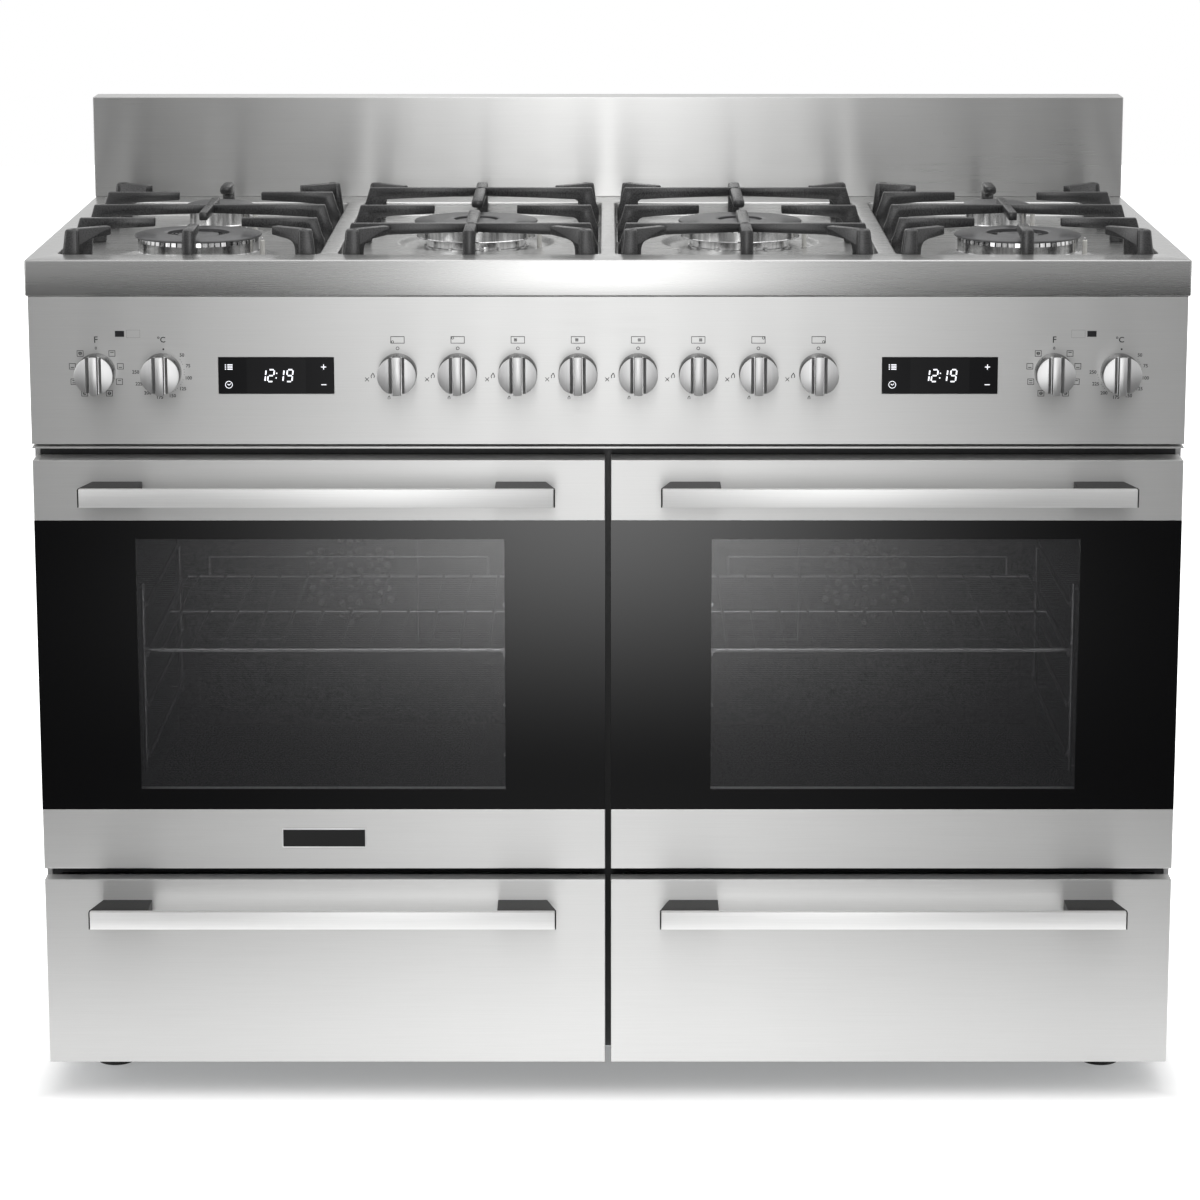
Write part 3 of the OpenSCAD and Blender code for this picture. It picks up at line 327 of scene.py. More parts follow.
def brushed_metal(name, colour, roughness, scale, along, stretch, relief, contrast=0.025):
    """Brushed metal: fine lines along one direction, with faint clouds from the rolling; at a large
    contrast the lines are painted shade and painted reflections, as on the burners.
    """
    tree, shader = new_material(name, colour, 1.0, roughness, Anisotropic=stretch)
    lines = add_noise(tree, scale, 3.0)
    clouds = add_noise(tree, (5, 5, 5))
    dark, light = shade(colour, 1 - contrast), shade(colour, 1 + contrast)
    tint(tree, shader, spread(tree, lines, 0, 1), dark, light)
    fine = spread(tree, lines, roughness - 0.02, roughness + 0.02)
    both = calc(tree, "ADD", fine, spread(tree, clouds, -0.01, 0.01))
    tree.links.new(both, shader.inputs["Roughness"])
    add_bump(tree, shader, lines, relief, 0.04 * MM)
    lay_grain(tree, shader, along)


def speckled(name, colour, metallic, roughness, grain, relief, **sockets):
    """A finish with a fine even grain, such as cast iron, enamel, zinc or moulded plastic."""
    tree, shader = new_material(name, colour, metallic, roughness, **sockets)
    specks = add_noise(tree, (grain, grain, grain), 3.0)
    clouds = add_noise(tree, (14, 14, 14))
    swing = 0.04 if metallic > 0.5 else 0.12
    dark, light = shade(colour, 1 - swing), shade(colour, 1 + swing)
    tint(tree, shader, spread(tree, clouds, 0, 1), dark, light)
    dull = spread(tree, specks, roughness - 0.06, roughness + 0.06)
    tree.links.new(dull, shader.inputs["Roughness"])
    add_bump(tree, shader, specks, relief, 0.1 * MM)
    return tree, shader


def printed_glass(name, colour, clear, lined, pitch, bend):
    """Clear glass with fine printed lines across it."""
    tree, shader = new_material(name, colour, 0.0, 0.03, IOR=bend)
    place = add_node(tree, "TexCoord").outputs["Object"]
    bands = {"Vector": place, "Scale": 2 * math.pi / 20 / pitch}
    lines = add_node(tree, "TexWave", bands, wave_type="BANDS", bands_direction="Z").outputs["Fac"]
    tree.links.new(spread(tree, lines, clear, lined, 0.35, 0.65), shader.inputs["Alpha"])
    smears = add_noise(tree, (9, 9, 9))
    tree.links.new(spread(tree, smears, 0.02, 0.06), shader.inputs["Roughness"])


def glossy_black(name, colour, roughness, gloss):
    """Black glass with faint smears."""
    tree, shader = new_material(name, colour, 0.0, roughness, IOR=1.5, Specular_IOR_Level=gloss)
    smears = add_noise(tree, (7, 7, 7))
    dull = spread(tree, smears, roughness * 0.6, roughness * 1.4)
    tree.links.new(dull, shader.inputs["Roughness"])
    tint(tree, shader, smears, shade(colour, 0.9), shade(colour, 1.1))


def edge_rounding(piece, width, segments=2):
    """Rounds the sharp edges of a carried-over piece."""
    weld = piece.modifiers.new("Weld", "WELD")
    weld.merge_threshold = 1e-6
    merge = piece.modifiers.new("Flat faces", "DECIMATE")
    merge.decimate_type = "DISSOLVE"
    merge.angle_limit = math.radians(1.0)
    bevel = piece.modifiers.new("Rounded edges", "BEVEL")
    bevel.width = width
    bevel.segments = segments
    bevel.limit_method = "ANGLE"
    bevel.angle_limit = math.radians(50.0)
    bevel.harden_normals = False


# Settings


def number(name, about, value, **limits):
    return bpy.props.FloatProperty(name=name, description=about, default=value, **limits)


def metres(name, about, value):
    return number(name, about, value, unit="LENGTH")


def tone(name, about, value):
    return bpy.props.FloatVectorProperty(
        name=name, description=about, subtype="COLOR", default=value
    )


class CookerSteel(bpy.types.PropertyGroup):
    """Sizes and colours of the steel sheet."""

    colour: tone("Steel", "Colour of the brushed steel", (0.60, 0.60, 0.595))
    roughness: number("Roughness", "Roughness of the brushed steel", 0.42, min=0.05, max=1.0)
    handle_colour: tone("Handle", "Colour of the handle bars", (0.86, 0.86, 0.855))
    edge: metres("Edge", "Radius of the folded edges", 0.8 * MM)
    skirt_radius: metres("Skirt corner", "Radius of the hob's corners", 4 * MM)
    well_radius: metres("Well corner", "Radius of the wells' corners", 14 * MM)


class CookerIron(bpy.types.PropertyGroup):
    """Sizes and colours of the pan supports and the burners."""

    colour: tone("Iron", "Colour of the pan supports", (0.030, 0.030, 0.031))
    bar: metres("Bar", "Thickness of a pan support's bar", 9 * MM)
    post: metres("Post", "Thickness of the middle legs", 13 * MM)
    cap_colour: tone("Cap", "Colour of the burner caps", (0.085, 0.085, 0.088))
    ports: bpy.props.IntProperty(
        name="Ports", description="Flame ports round a large burner", default=60, min=12, max=90
    )


class CookerStage(bpy.types.PropertyGroup):
    """Where the camera stands and how bright the studio is."""

    distance: metres("Distance", "Camera to the hob's front edge", 3.868)
    height: metres("Height", "Camera above the floor", 1.422)
    tilt: number("Tilt", "How far the camera looks down", math.radians(11.0), subtype="ANGLE")
    lens: number("Lens", "Focal length in millimetres", 113.9)
    shift: bpy.props.FloatVectorProperty(
        name="Shift", description="Camera shift across and up", size=2, default=(-0.0067, -0.10)
    )
    level: number("Level", "Light from the front half of the room", 0.48)
    lamps: number("Lamps", "Power of each lamp in watts", 22)
    card: number("Card", "Brightness of the light card in its middle", 2.9)
    card_ends: number("Card ends", "Brightness of the light card towards its ends", 0.37)
    card_middle: metres("Card middle", "Place of the light card's brightest part", -0.02)
    card_width: metres("Card width", "How fast the light card fades to its ends", 0.34)
    ceiling: number("Ceiling", "Brightness of the light card's ceiling", 0.56)


SETTINGS = {"cooker_steel": CookerSteel, "cooker_iron": CookerIron, "cooker_stage": CookerStage}


# Operators


# Colour, metallic, roughness, grain per metre, relief, and further inputs
SPECKLED = {
    "Zinc sheet": ((0.50, 0.52, 0.53), 0.8, 0.45, 60, 0.1),
    "Side sheet": ((0.46, 0.46, 0.46), 0.9, 0.42, 300, 0.06),
    "Oven enamel": ((0.035, 0.036, 0.040), 0.0, 0.28, 400, 0.12, ("IOR", 1.55)),
    "Black enamel": ((0.012, 0.012, 0.013), 0.0, 0.35, 400, 0.1),
    "Black plastic": ((0.012, 0.012, 0.012), 0.0, 0.45, 1200, 0.2, ("Specular_IOR_Level", 0.3)),
    "Seal rubber": ((0.02, 0.02, 0.02), 0.0, 0.75, 800, 0.3),
    "Chromed wire": ((0.78, 0.78, 0.80), 1.0, 0.2, 200, 0.03),
    "Heater sheath": ((0.12, 0.12, 0.12), 0.7, 0.5, 900, 0.2),
    "Fan steel": ((0.50, 0.50, 0.50), 1.0, 0.4, 200, 0.05),
    "Tap brass": ((0.70, 0.52, 0.22), 1.0, 0.35, 300, 0.05),
    "Pipe zinc": ((0.55, 0.55, 0.57), 0.9, 0.4, 300, 0.05),
    "Spark ceramic": ((0.85, 0.84, 0.80), 0.0, 0.3, 500, 0.05),
    "Plate rim": ((0.88, 0.88, 0.88), 0.3, 0.35, 500, 0.03),
    "Panel ink": ((0.02, 0.02, 0.022), 0.0, 0.6, 900, 0.05, ("Specular_IOR_Level", 0.2)),
}


class COOKER_OT_finishes(bpy.types.Operator):
    """Makes the cooker's finishes"""

    bl_idname = "cooker.finishes"
    bl_label = "Finishes"

    def execute(self, context):
        steel = context.scene.cooker_steel
        iron = context.scene.cooker_iron
        fine, level = (12, 1400, 1400), (1, 0.1, 0)
        sheet = steel.colour
        brushed_metal("Brushed sheet", sheet, steel.roughness, fine, level, 0.85, 0.04)
        # The hob's and the splashback's sheets are darker copies of the front's steel: painted shade
        brushed_metal("Shaded hob sheet", shade(sheet, 0.86), 0.28, fine, level, 0.6, 0.02)
        brushed_metal("Shaded splash sheet", shade(sheet, 0.82), 0.30, fine, level, 1.0, 0.02)
        brushed_metal("Handle bar", steel.handle_colour, 0.5, fine, level, 0.6, 0.04)
        grain, upright = (1600, 1600, 8), (0, 0.1, 1)
        brushed_metal("Knob metal", (0.70, 0.70, 0.70), 0.36, grain, upright, 0.5, 0.15)
        # The knob's side material is a dark copy of the knob's metal: painted shade on the knob's
        # rim and groove walls
        dark, turned, along = (0.16, 0.16, 0.16), (1600, 5, 1600), (0, 1, 0.1)
        brushed_metal("Knob side shade", dark, 0.24, turned, along, 0.3, 0.05)
        # The burner metal's strong vertical streaks of lighter and darker colour are painted shade
        # and painted reflections of the crowns' facets and flame ports
        grain = (260, 260, 9)
        brushed_metal("Burner metal", (0.72, 0.72, 0.72), 0.17, grain, upright, 0.2, 0.08, 0.3)
        for name, finish in SPECKLED.items():
            colour, metallic, roughness, grain, relief, *rest = finish
            speckled(name, colour, metallic, roughness, grain, relief, **dict(rest))
        speckled("Cast iron", iron.colour, 0.0, 0.28, 900, 0.3, IOR=1.6)
        speckled("Cap enamel", iron.cap_colour, 0.0, 0.36, 700, 0.2, IOR=1.6)
        glossy_black("Door glass", (0.0018, 0.0018, 0.0022), 0.03, 0.5)
        glossy_black("Display cover", (0.006, 0.006, 0.007), 0.10, 0.15)
        glossy_black("Display window", (0.011, 0.011, 0.012), 0.12, 0.15)
        printed_glass("Window glass", (0.030, 0.030, 0.033), 0.22, 0.50, 2.1 * MM, 2.2)
        printed_glass("Inner glass", (0.02, 0.02, 0.022), 0.04, 0.04, 2.1 * MM, 1.5)
        _, shader = speckled("Display light", (0.9, 0.9, 0.95), 0.0, 0.4, 300, 0.0)
        shader.inputs["Emission Color"].default_value = (0.92, 0.93, 1.0, 1)
        shader.inputs["Emission Strength"].default_value = 0.9
        return {"FINISHED"}


FRONT_SHEETS = (
    "control_panel", "door_frame_left", "door_frame_right", "drawer_front_left",
    "drawer_front_right",
)
NODE_FINISHES = {
    "Brushed sheet": FRONT_SHEETS,
    "Shaded splash sheet": ("splashback",),
    "Side sheet": ("body_panels",),
    "Zinc sheet": (
        "back_panel", "base_pan", "drawer_runners", "drawer_box_left", "drawer_box_right",
        "oven_switches", "door_hinges_left", "door_hinges_right",
    ),
    "Black enamel": ("front_frame",),
    "Oven enamel": ("oven_cavity_left", "oven_cavity_right", "fan_covers"),
    "Inner glass": ("door_inner_glass_left", "door_inner_glass_right"),
    "Display cover": ("timer_displays",),
    "Chromed wire": ("wire_shelf_left", "wire_shelf_right", "side_racks"),
    "Heater sheath": ("heating_elements",),
    "Fan steel": ("fan_wheel_left", "fan_wheel_right", "fan_motors"),
    "Tap brass": ("gas_taps",),
    "Pipe zinc": ("gas_pipework",),
    "Seal rubber": ("oven_seals",),
    "Black plastic": ("levelling_feet",),
}
ROUNDED_NODES = ("splashback", *FRONT_SHEETS, "body_panels")


class COOKER_OT_carried_pieces(bpy.types.Operator):
    """Dresses the pieces that come from the frame as they are"""

    bl_idname = "cooker.carried_pieces"
    bl_label = "Carried-over pieces"

    def execute(self, context):
        for material, nodes in NODE_FINISHES.items():
            for node in nodes:
                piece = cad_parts[node]
                piece.data.materials.clear()
                piece.data.materials.append(bpy.data.materials[material])
        for node in ROUNDED_NODES:
            edge_rounding(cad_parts[node], context.scene.cooker_steel.edge)
        return {"FINISHED"}


def add_round_face(bm, low, high, z, radius, segments=6):
    """Adds a flat rectangle with rounded corners, and returns its face."""
    middle = Vector(((low[0] + high[0]) / 2, (low[1] + high[1]) / 2, z))
    verts = bmesh.ops.create_grid(bm, x_segments=1, y_segments=1, size=0.5)["verts"]
    bmesh.ops.scale(bm, vec=(high[0] - low[0], high[1] - low[1], 1), verts=verts)
    bmesh.ops.translate(bm, vec=middle, verts=verts)
    bevel(bm, verts, radius, segments, "VERTICES")
    return min(bm.faces, key=lambda face: (face.calc_center_median() - middle).length)


def press_down(bm, face, steps):
    """Insets a face step by step, each with its own width and drop."""
    for width, drop_by in steps:
        bmesh.ops.inset_region(
            bm, faces=[face], thickness=width, depth=-drop_by, use_even_offset=True
        )


def ease(width, depth, steps=5):
    """The steps of a soft slope: level at both ends, over a given width and depth."""
    heights = [(1 - math.cos(math.pi * i / steps)) / 2 for i in range(steps + 1)]
    return [(width / steps, (b - a) * depth) for a, b in zip(heights, heights[1:])]


WELL_DEPTH = 16 * MM
WELL_RIM = 2 * MM
WELL_PLAY = 2 * MM
WELL_REAR = 12 * MM
FOLD = 2 * MM
SHEET = 1.2 * MM
DISH_SLOPE = 13 * MM
INNER_SETBACK = 120 * MM
# Sizes of the burners in millimetres
CAP_RADIUS = {"front": 67.5, "inner": 67.5, "rear": 37}
CAP_OPENING = {"front": 33, "inner": 24}
DISH_RADIUS = {"front": 88, "inner": 88, "rear": 60}
BASE_RADIUS = {"front": 55, "inner": 55, "rear": 30}
CUP_RADIUS = {"front": 38, "inner": 38, "rear": 21}
PORT_TOP = {"front": 22, "inner": 22, "rear": 27}
DISH_DEPTH = 4
CROWN_FOOT = 6.5
CROWN_WALL = 8
PORT_DEPTH = 4.4
PORT_WIDTH = 1.6


def burner_places():
    """Kind of each burner, and its middle on the well's floor, from the boxes of the caps."""
    low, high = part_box("burner_caps")
    outer_x = high[0] - CAP_RADIUS["front"] * MM
    front_y = low[1] + CAP_RADIUS["front"] * MM
    rear_y = high[1] - CAP_RADIUS["rear"] * MM
    inner_x, _ = middle_of("grate_3")
    spots = (
        ("front", outer_x, front_y), ("inner", inner_x, front_y + INNER_SETBACK),
        ("rear", outer_x, rear_y),
    )
    floor = HOB_Z - WELL_DEPTH
    return [(kind, Vector((side * x, y, floor))) for side in (-1, 1) for kind, x, y in spots]


class COOKER_OT_hob(bpy.types.Operator):
    """Makes the pressed steel hob with its wells, burner seats and skirt"""

    bl_idname = "cooker.hob"
    bl_label = "Hob"

    def execute(self, context):
        steel = context.scene.cooker_steel
        bm = bmesh.new()
        low = (HOB_LOW[0] + FOLD, HOB_LOW[1] + FOLD)
        high = (HOB_HIGH[0] - FOLD, HOB_HIGH[1] - FOLD)
        sheet = add_round_face(bm, low, high, HOB_Z, steel.skirt_radius - FOLD, 4)
        self.fold_skirt(bm, sheet)
        wells = [self.well_face(bm, number, steel.well_radius) for number in range(1, 5)]
        self.fill(bm, sheet, wells)
        for well in wells:
            self.press_well(bm, well)
        bmesh.ops.recalc_face_normals(bm, faces=bm.faces)
        piece = make_piece("hob_sheet", bm, "cabinet", ["Shaded hob sheet"], ["hob_top"], 40, False)
        wall = piece.modifiers.new("Sheet", "SOLIDIFY")
        wall.thickness = SHEET
        wall.offset = -1
        return {"FINISHED"}

    def fill(self, bm, around, inside):
        """Replaces a face with one that leaves room for the faces that lie inside it."""
        edges = list(around.edges) + [edge for face in inside for edge in face.edges]
        bmesh.ops.delete(bm, geom=[around], context="FACES_ONLY")
        bmesh.ops.triangle_fill(
            bm, use_beauty=True, use_dissolve=False, edges=edges, normal=(0, 0, 1)
        )

    def fold_skirt(self, bm, sheet):
        """Folds the skirt down from the hob's edge, with a lip turned in at its foot."""
        foot = HOB_LOW[2]
        centre = sheet.calc_center_median()
        turns = [math.pi / 2 * i / 4 for i in range(5)]
        path = [(FOLD * math.sin(turn), HOB_Z - FOLD * (1 - math.cos(turn))) for turn in turns]
        path += [(FOLD, foot + FOLD)]
        path += [(FOLD * math.cos(turn), foot + FOLD * (1 - math.sin(turn))) for turn in turns[1:]]
        path += [(-8 * MM, foot)]
        loop = list(sheet.edges)
        reach = 0.0
        for out, z in path[1:]:
            made = bmesh.ops.extrude_edge_only(bm, edges=loop)["geom"]
            loop = [g for g in made if isinstance(g, bmesh.types.BMEdge)]
            for vert in {v for edge in loop for v in edge.verts}:
                vert.co.x += (out - reach) * math.copysign(1, vert.co.x - centre.x)
                vert.co.y += (out - reach) * math.copysign(1, vert.co.y - centre.y)
                vert.co.z = z
            reach = out

    def well_face(self, bm, number, radius):
        low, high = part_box(f"grate_{number}")
        around = WELL_PLAY + WELL_RIM
        low = (low[0] - around, low[1] - around)
        high = (high[0] + around, high[1] + around + WELL_REAR)
        return add_round_face(bm, low, high, HOB_Z, radius)

    def press_well(self, bm, well):
        """Folds the rim down to a nearly upright wall, and dips the floor round each burner."""
        turns = [math.pi / 2 * i / 5 for i in range(6)]
        rim = [
            (WELL_RIM * (math.sin(b) - math.sin(a)), WELL_RIM * (math.cos(a) - math.cos(b)))
            for a, b in zip(turns, turns[1:])
        ]
        fillet = [(drop_by * 0.75, width) for width, drop_by in rim]
        wall = WELL_DEPTH - WELL_RIM - sum(drop_by for _, drop_by in fillet)
        press_down(bm, well, rim + [(0.05 * MM, wall)] + fillet)
        xs = [vert.co.x for vert in well.verts]
        ys = [vert.co.y for vert in well.verts]
        kinds, seats = [], []
        for kind, foot in burner_places():
            if min(xs) < foot.x < max(xs) and min(ys) < foot.y < max(ys):
                verts = bmesh.ops.create_circle(
                    bm, cap_ends=True, segments=72, radius=DISH_RADIUS[kind] * MM
                )["verts"]
                bmesh.ops.translate(bm, vec=foot, verts=verts)
                kinds.append(kind)
                seats.append(verts[0].link_faces[0])
        self.fill(bm, well, seats)
        for kind, seat in zip(kinds, seats):
            if seat.normal.z < 0:
                seat.normal_flip()
            level = (DISH_RADIUS[kind] - CUP_RADIUS[kind] - 0.5) * MM - DISH_SLOPE
            press_down(bm, seat, ease(DISH_SLOPE, DISH_DEPTH * MM, 8) + [(level, 0)])
            bmesh.ops.delete(bm, geom=[seat], context="FACES_ONLY")


class COOKER_OT_burners(bpy.types.Operator):
    """Makes the burners' bases, slotted crowns, caps and spark electrodes"""

    bl_idname = "cooker.burners"
    bl_label = "Burners"

    def execute(self, context):
        ports = context.scene.cooker_iron.ports
        bases, crowns, lids, ceramics = (bmesh.new() for _ in range(4))
        for kind, foot in burner_places():
            radius, port_top = CAP_RADIUS[kind], PORT_TOP[kind]
            crown = radius - 3
            self.base(bases, foot, kind, crown)
            if kind == "rear":
                self.crown(crowns, foot, crown, port_top, round(ports * 0.6))
                self.plain_cap(lids, foot, radius, port_top)
            else:
                self.crown(crowns, foot, crown, port_top, ports)
                self.crown(crowns, foot, 21, port_top, 22)
                self.ring_cap(lids, foot, radius, CAP_OPENING[kind], port_top)
                self.plain_cap(lids, foot, 22, port_top, 3)
            self.electrode(crowns, ceramics, foot, radius + 4.5, port_top)
        for name, bm, material, slot, nodes in (
            ("burner_bases", bases, "Burner metal", "burner_aluminium", ["burner_cups"]),
            ("burner_crowns", crowns, "Burner metal", "burner_aluminium", ["flame_spreaders"]),
            ("burner_lids", lids, "Cap enamel", "cap_enamel", ["burner_caps"]),
            ("spark_ceramics", ceramics, "Spark ceramic", "burner_aluminium", ()),
        ):
            make_piece(name, bm, "cabinet", [material], nodes)
        return {"FINISHED"}

    def base(self, bm, foot, kind, crown):
        """The cup below the hob, the ring under the crown, its screws and its small bracket."""
        cup, ring, dip, top = CUP_RADIUS[kind], BASE_RADIUS[kind], -DISH_DEPTH, CROWN_FOOT - 0.1
        profile = [
            (0, -17), (cup, -17), (cup, dip), (ring + 2, dip), (ring + 2, dip + 1.2),
            (ring, dip + 2), (ring - 0.6, top - 0.5), (ring - 2, top), (0, top),
        ]
        add_turned(bm, profile, foot)
        screw = [(2.2, dip), (2.2, dip + 3.4), (1.4, dip + 4.2), (0, dip + 4.2)]
        for degrees in (-118, -62, 62, 118):
            turn = math.radians(degrees)
            reach = (ring + 1.5) * MM
            add_turned(bm, screw, foot + Vector((math.cos(turn), math.sin(turn), 0)) * reach, 16)
        low = foot + Vector((6, -crown, dip)) * MM
        high = foot + Vector((15, 9 - crown, CROWN_FOOT - 4)) * MM
        add_box(bm, low, high, 0.8 * MM)

    def crown(self, bm, foot, radius, top, ports):
        """A ring with a row of flame ports cut down from its upper edge."""
        inner, low, shoulder = radius - CROWN_WALL, CROWN_FOOT, top - PORT_DEPTH
        profile = [
            (inner, low), (radius + 0.2, low), (radius + 0.7, low + 0.5), (radius + 0.2, low + 1.1),
            (radius - 0.1, low + 1.4), (radius, shoulder), (inner, shoulder), (inner, low),
        ]
        add_turned(bm, profile, foot, 120)
        pitch = 2 * math.pi / ports
        corners = ((inner, shoulder), (radius, shoulder), (radius - 0.4, top), (inner, top))
        outline = [(x * MM, z * MM) for x, z in corners]
        tooth = (pitch * radius - PORT_WIDTH) * MM
        for index in range(ports):
            turn = Matrix.Rotation(pitch * index, 4, "Z")
            add_prism(bm, outline, tooth, Matrix.Translation(foot) @ turn)

    def ring_cap(self, bm, foot, radius, opening, z):
        profile = [
            (opening, z + 3.4), (opening, z + 0.2), (opening + 3, z), (radius - 1.2, z),
            (radius - 0.2, z + 0.5), (radius, z + 1.4), (radius - 0.8, z + 2.3),
            (radius - 5, z + 3.1), (radius * 0.75, z + 3.8), (opening + 6, z + 4),
            (opening + 1, z + 3.9), (opening, z + 3.4),
        ]
        add_turned(bm, profile, foot, 96)

    def plain_cap(self, bm, foot, radius, z, dome=5):
        profile = [
            (0, z), (radius - 1, z), (radius, z + 0.8), (radius - 0.4, z + 1.7),
            (radius * 0.86, z + dome * 0.62), (radius * 0.6, z + dome * 0.88),
            (radius * 0.3, z + dome * 0.97), (0, z + dome),
        ]
        add_turned(bm, profile, foot, 72)

    def electrode(self, metal, ceramic, foot, reach, top):
        """The spark pin: a metal tip in a white sleeve, beside the crown."""
        turn = math.radians(-15)
        base = foot + Vector((math.cos(turn), math.sin(turn), 0)) * (reach * MM)
        dip = 0.2 - DISH_DEPTH
        sleeve = [(0, dip), (2.6, dip), (2.6, top - 3), (1.8, top - 2), (0, top - 2)]
        add_turned(ceramic, sleeve, base, 20)
        add_turned(metal, [(0, top - 2), (1, top - 2), (1, top), (0, top + 1)], base, 12)


# For the outer and the inner pan supports, in millimetres: where each pair of side fingers stands
# and how far short of the middle it ends, and the lengths of the front and the rear finger
SUPPORT_ROWS = {
    "outer": ((106, 46), (223, -3), (341, 46)),
    "inner": ((60, -3), (218, 45), (384, -3)),
}
SUPPORT_ENDS = {"outer": (58, 46), "inner": (178, 176)}
BRIDGE = (153, 289)


class COOKER_OT_pan_supports(bpy.types.Operator):
    """Makes the four cast pan supports"""

    bl_idname = "cooker.pan_supports"
    bl_label = "Pan supports"

    def execute(self, context):
        iron = context.scene.cooker_iron
        for number, kind in enumerate(("outer", "inner", "inner", "outer"), 1):
            node = f"grate_{number}"
            bm = self.casting(node, iron, kind)
            make_piece(f"pan_support_{number}", bm, node, ["Cast iron"], [node], 32)
        return {"FINISHED"}

    def finger(self, bm, start, turn, length, thickness, flare=0.0, rounding=1.2 * MM):
        """One finger: a leg that curves into an arm and thins towards its tip."""
        low, top = self.low, self.top
        tip, leg = top - 9 * MM, 12 * MM
        outline = [
            (-flare, low), (leg, low), (leg + 1 * MM, top - 22 * MM),
            (leg + 2 * MM, top - 18 * MM), (leg + 4 * MM, top - 15 * MM),
            (leg + 7 * MM, top - 13.2 * MM), (length * 0.34 + 9 * MM, tip - 2.6 * MM),
            (length, tip), (length, top), (0, top), (-flare * 0.7, top - 19 * MM),
            (-flare, top - 24 * MM),
        ]
        place = Matrix.Translation(start) @ Matrix.Rotation(turn, 4, "Z")
        add_prism(bm, outline, thickness, place, rounding)

    def casting(self, node, iron, kind):
        """One support: legs at its corners, side and corner fingers and cross bars."""
        low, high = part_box(node)
        self.low, self.top = low[2], high[2]
        middle = (low[0] + high[0]) / 2
        half = (high[0] - low[0]) / 2
        arm_half = half - 8 * MM
        bm = bmesh.new()
        self.frame_rails(bm, low, high)
        for side in (-1, 1):
            for y, end in ((low[1], 1), (high[1], -1)):
                start = Vector((middle + side * (arm_half - 3 * MM), y + end * 9 * MM, 0))
                turn = end * math.radians(39)
                self.finger(bm, start, turn if side < 0 else math.pi - turn, 46 * MM, 11 * MM)
                self.corner_leg(bm, middle + side * half, y, side, end)
        for offset, gap in SUPPORT_ROWS[kind]:
            for side in (-1, 1):
                start = Vector((middle + side * arm_half, low[1] + offset * MM, 0))
                turn = 0 if side < 0 else math.pi
                self.finger(bm, start, turn, arm_half - gap * MM, iron.bar, 8 * MM)
        quarter = math.pi / 2
        for y, turn, length in zip((low[1], high[1]), (quarter, -quarter), SUPPORT_ENDS[kind]):
            start = Vector((middle, y, 0))
            self.finger(bm, start, turn, length * MM, iron.post, 0.0, 3 * MM)
        if kind == "outer":
            front, rear = (low[1] + end * MM for end in BRIDGE)
            near = (middle - iron.bar / 2, front, self.top - 9 * MM)
            add_box(bm, near, (middle + iron.bar / 2, rear, self.top), 1.2 * MM)
        return bm

    def frame_rails(self, bm, low, high):
        """Meant for the low frame that joins the legs, but adds nothing so far: a fault.

        press_down insets a lone face, which has no effect without use_boundary, so no ring forms.
        """
        rail, rail_low, rail_top = 10 * MM, HOB_Z - 7.6 * MM, HOB_Z + 4.4 * MM
        face = add_round_face(bm, low, high, rail_low, 9 * MM)
        press_down(bm, face, [(rail, 0)])
        extrude(bm, [ring for ring in bm.faces if ring is not face], (0, 0, rail_top - rail_low))
        bmesh.ops.delete(bm, geom=[face], context="FACES_ONLY")
        round_edges(bm, bm.verts[:], 1.2 * MM)

    def corner_leg(self, bm, x, y, side, end):
        """A square leg at a corner, a little narrower at its top."""
        verts = bmesh.ops.create_cube(bm, size=1.0)["verts"]
        for vert in verts:
            high = vert.co.z > 0
            outside_x = (6 if high else 1) * MM
            outside_y = (2.5 if high else 0.5) * MM
            across = outside_x if vert.co.x < 0 else 20 * MM
            deep = outside_y if vert.co.y < 0 else 15 * MM
            vert.co = (x - side * across, y + end * deep, self.top if high else self.low)
        round_edges(bm, verts, 2.5 * MM, 3)


